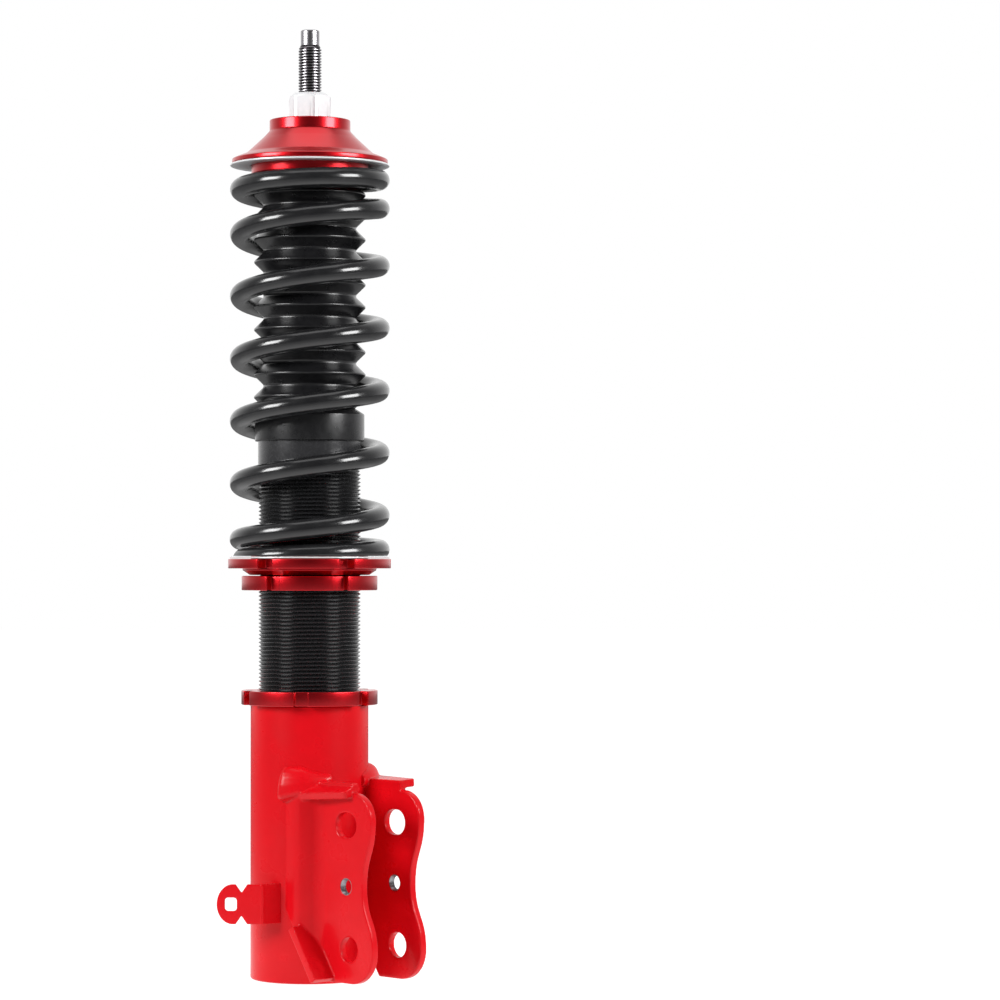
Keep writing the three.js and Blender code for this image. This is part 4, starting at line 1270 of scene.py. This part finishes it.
def bootFolds(bottom, top):
    shape = bootShape
    pitch = (top - bottom) / shape["folds"]
    outside = [(shape["valley"], bottom)]
    inside = [(shape["valley"] - shape["wall"], bottom)]
    for i in range(shape["folds"]):
        start = bottom + i * pitch
        outside.append((shape["peak"], start + pitch / 2, shape["crestRound"]))
        inside.append((shape["peak"] - shape["wall"] * 1.1, start + pitch / 2, shape["crestRound"]))
        if i < shape["folds"] - 1:
            outside.append((shape["valley"], start + pitch, shape["rootRound"]))
            inside.append((shape["valley"] - shape["wall"], start + pitch, shape["rootRound"]))
    outside.append((shape["valley"], top))
    inside.append((shape["valley"] - shape["wall"], top))
    return turned("bootFolds", outside + inside[::-1], 128)


def bootNeck(bottom, top):
    shape = bootShape
    neck = shape["neckRadius"]
    outside = [(shape["valley"], bottom), (neck, bottom + 2, 1.0), (neck, top, 0.4)]
    inside = [(shape["valley"] - shape["wall"], bottom), (neck - shape["wall"], bottom + 2, 1.0),
              (neck - shape["wall"], top, 0.4)]
    return turned("bootNeck", outside + inside[::-1], 128)


foldsBottom = levels["bodyTop"] - bootShape["cuffOverlap"] + bootShape["cuff"]
foldsTop = high("dust_boot") - bootShape["neck"]
piece("bootCuff", bootCuff(), "damper_body", "black_rubber", ["dust_boot"], crease=60)
folds = piece("bootFolds", bootFolds(foldsBottom, foldsTop), "damper_body", "black_rubber",
              ["dust_boot"], crease=60)
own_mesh(folds)
piece("bootNeck", bootNeck(foldsTop, high("dust_boot")), "stroke_carrier", "black_rubber",
      ["dust_boot"], crease=60)
print("dust boot made")


# the pieces sealed inside the body are kept as they come from the frame
for entry in frame["record"]["subparts"]:
    node = frame["nodes"][entry["node"]]
    if node.hide_render:
        continue
    if not node.material_slots:
        node.data.materials.append(None)
    for holder in node.material_slots:
        holder.link = "OBJECT"
        holder.material = finishes[entry["material_slot"]]
print("finishes set on the kept pieces")


studio = {
    "floorRadius": 9000, "floorDrop": 0.2, "floorColour": (0.3, 0.3, 0.3), "floorGlow": 0.97,
    "litFloor": (100, 620), "bounce": (0.85, 0.05),
    "back": 1.0, "front": 0.07, "walls": ((0.2, 0.75), (0.42, 0.3), (0.62, 0.12)),
    "stripTurn": 60, "stripSize": (620, 560), "stripAway": 1300, "stripHeight": 760,
    "stripPower": 16, "topPower": 5, "topSize": 1200, "topHeight": 1700,
    "topForward": 100, "aimHeight": 250,
}
cameraShape = {"at": (1420.4, -1234.7, 218.0), "lens": 130.3, "turn": -3.01, "tilt": 0.902,
               "sensor": 36, "near": 0.05, "far": 100}
towards = Vector((0.7547, -0.656, 0)) # from the strut towards the camera


def addFloor():
    mesh = bpy.data.meshes.new("floor")
    count = 96
    rim = [Vector(p) * millimetre for p in circle(studio["floorRadius"], 0, count)]
    mesh.from_pydata(rim, [], [tuple(range(count))])
    mesh.transform(Matrix.Translation((0, 0, -studio["floorDrop"] * millimetre)))
    material, nodes, links, shader = shaderOf("paleFloor")
    where = place(nodes, links)
    cloud = noise(nodes, links, where, 0.004, 2)
    links.new(remapped(nodes, links, cloud, 0.3, 0.7, 0.85, 0.95), shader.inputs["Roughness"])
    shader.inputs["Specular IOR Level"].default_value = 0
    shader.inputs["Base Color"].default_value = (*studio["floorColour"], 1)
    shader.inputs["Emission Color"].default_value = (1, 1, 1, 1)
    # the table is brightest around the strut and falls off across the room
    bounce = remapped(nodes, links, lengthOf(nodes, links, where), *studio["litFloor"],
                      *studio["bounce"])
    rays = nodes.new("ShaderNodeLightPath")
    glow = nodes.new("ShaderNodeMix")
    links.new(rays.outputs["Is Camera Ray"], glow.inputs["Factor"])
    links.new(bounce, glow.inputs["A"])
    glow.inputs["B"].default_value = studio["floorGlow"]
    links.new(glow.outputs["Result"], shader.inputs["Emission Strength"])
    mesh.materials.append(material)
    thing = bpy.data.objects.new("floor", mesh)
    bpy.context.collection.objects.link(thing)


def addWorld():
    # white studio walls behind the strut, dimmer ones towards the front
    world = bpy.data.worlds.new("studio")
    bpy.context.scene.world = world
    world.use_nodes = True
    nodes, links = world.node_tree.nodes, world.node_tree.links
    walls = nodes["Background"]
    coordinates = nodes.new("ShaderNodeTexCoord")
    facing = nodes.new("ShaderNodeVectorMath")
    facing.operation = "DOT_PRODUCT"
    facing.inputs[1].default_value = towards
    links.new(coordinates.outputs["Generated"], facing.inputs[0])
    ramp = nodes.new("ShaderNodeValToRGB")
    stops = ramp.color_ramp.elements
    stops[0].color = (*[studio["back"]] * 3, 1)
    stops[1].color = (*[studio["front"]] * 3, 1)
    for position, brightness in studio["walls"]: # from behind the strut round to the front
        stops.new(position).color = (brightness, brightness, brightness, 1)
    halved = nodes.new("ShaderNodeMapRange")
    halved.inputs["From Min"].default_value = -1
    links.new(facing.outputs["Value"], halved.inputs["Value"])
    links.new(halved.outputs["Result"], ramp.inputs["Fac"])
    links.new(ramp.outputs["Color"], walls.inputs["Color"])
    plain = nodes.new("ShaderNodeBackground")
    plain.inputs["Color"].default_value = (1, 1, 1, 1)
    choose = nodes.new("ShaderNodeMixShader")
    rays = nodes.new("ShaderNodeLightPath")
    links.new(rays.outputs["Is Camera Ray"], choose.inputs["Fac"])
    links.new(walls.outputs["Background"], choose.inputs[1])
    links.new(plain.outputs["Background"], choose.inputs[2])
    links.new(choose.outputs["Shader"], nodes["World Output"].inputs["Surface"])


def addSoftLight(name, spot, aim, size, power):
    light = bpy.data.lights.new(name, "AREA")
    light.shape = "RECTANGLE"
    light.size = size[0] * millimetre
    light.size_y = size[1] * millimetre
    light.energy = power
    thing = bpy.data.objects.new(name, light)
    bpy.context.collection.objects.link(thing)
    thing.location = spot * millimetre
    thing.rotation_euler = (aim - spot).to_track_quat("-Z", "Y").to_euler()


def addLights():
    middle = Vector((0, 0, studio["aimHeight"]))
    for name, side in (("leftStrip", -1), ("rightStrip", 1)):
        outward = Matrix.Rotation(radians(side * studio["stripTurn"]), 3, "Z") @ towards
        spot = outward * studio["stripAway"] + Vector((0, 0, studio["stripHeight"]))
        addSoftLight(name, spot, middle, studio["stripSize"], studio["stripPower"])
    overhead = Vector((0, 0, studio["topHeight"])) + towards * studio["topForward"]
    addSoftLight("overhead", overhead, middle, (studio["topSize"],) * 2, studio["topPower"])


def addCamera():
    camera = bpy.data.cameras.new("camera")
    camera.lens = cameraShape["lens"]
    camera.sensor_width = cameraShape["sensor"]
    camera.clip_start = cameraShape["near"]
    camera.clip_end = cameraShape["far"]
    thing = bpy.data.objects.new("camera", camera)
    bpy.context.collection.objects.link(thing)
    spot = Vector(cameraShape["at"])
    inward = Vector((-spot.x, -spot.y, 0)).normalized()
    flat = Matrix.Rotation(radians(cameraShape["turn"]), 3, "Z") @ inward
    aim = flat + Vector((0, 0, tan(radians(cameraShape["tilt"]))))
    thing.location = spot * millimetre
    thing.rotation_euler = aim.to_track_quat("-Z", "Y").to_euler()
    bpy.context.scene.camera = thing


addFloor()
addWorld()
addLights()
addCamera()
bpy.context.scene.view_settings.view_transform = "Standard"
print("studio made")

print("pieces made:", len(made))
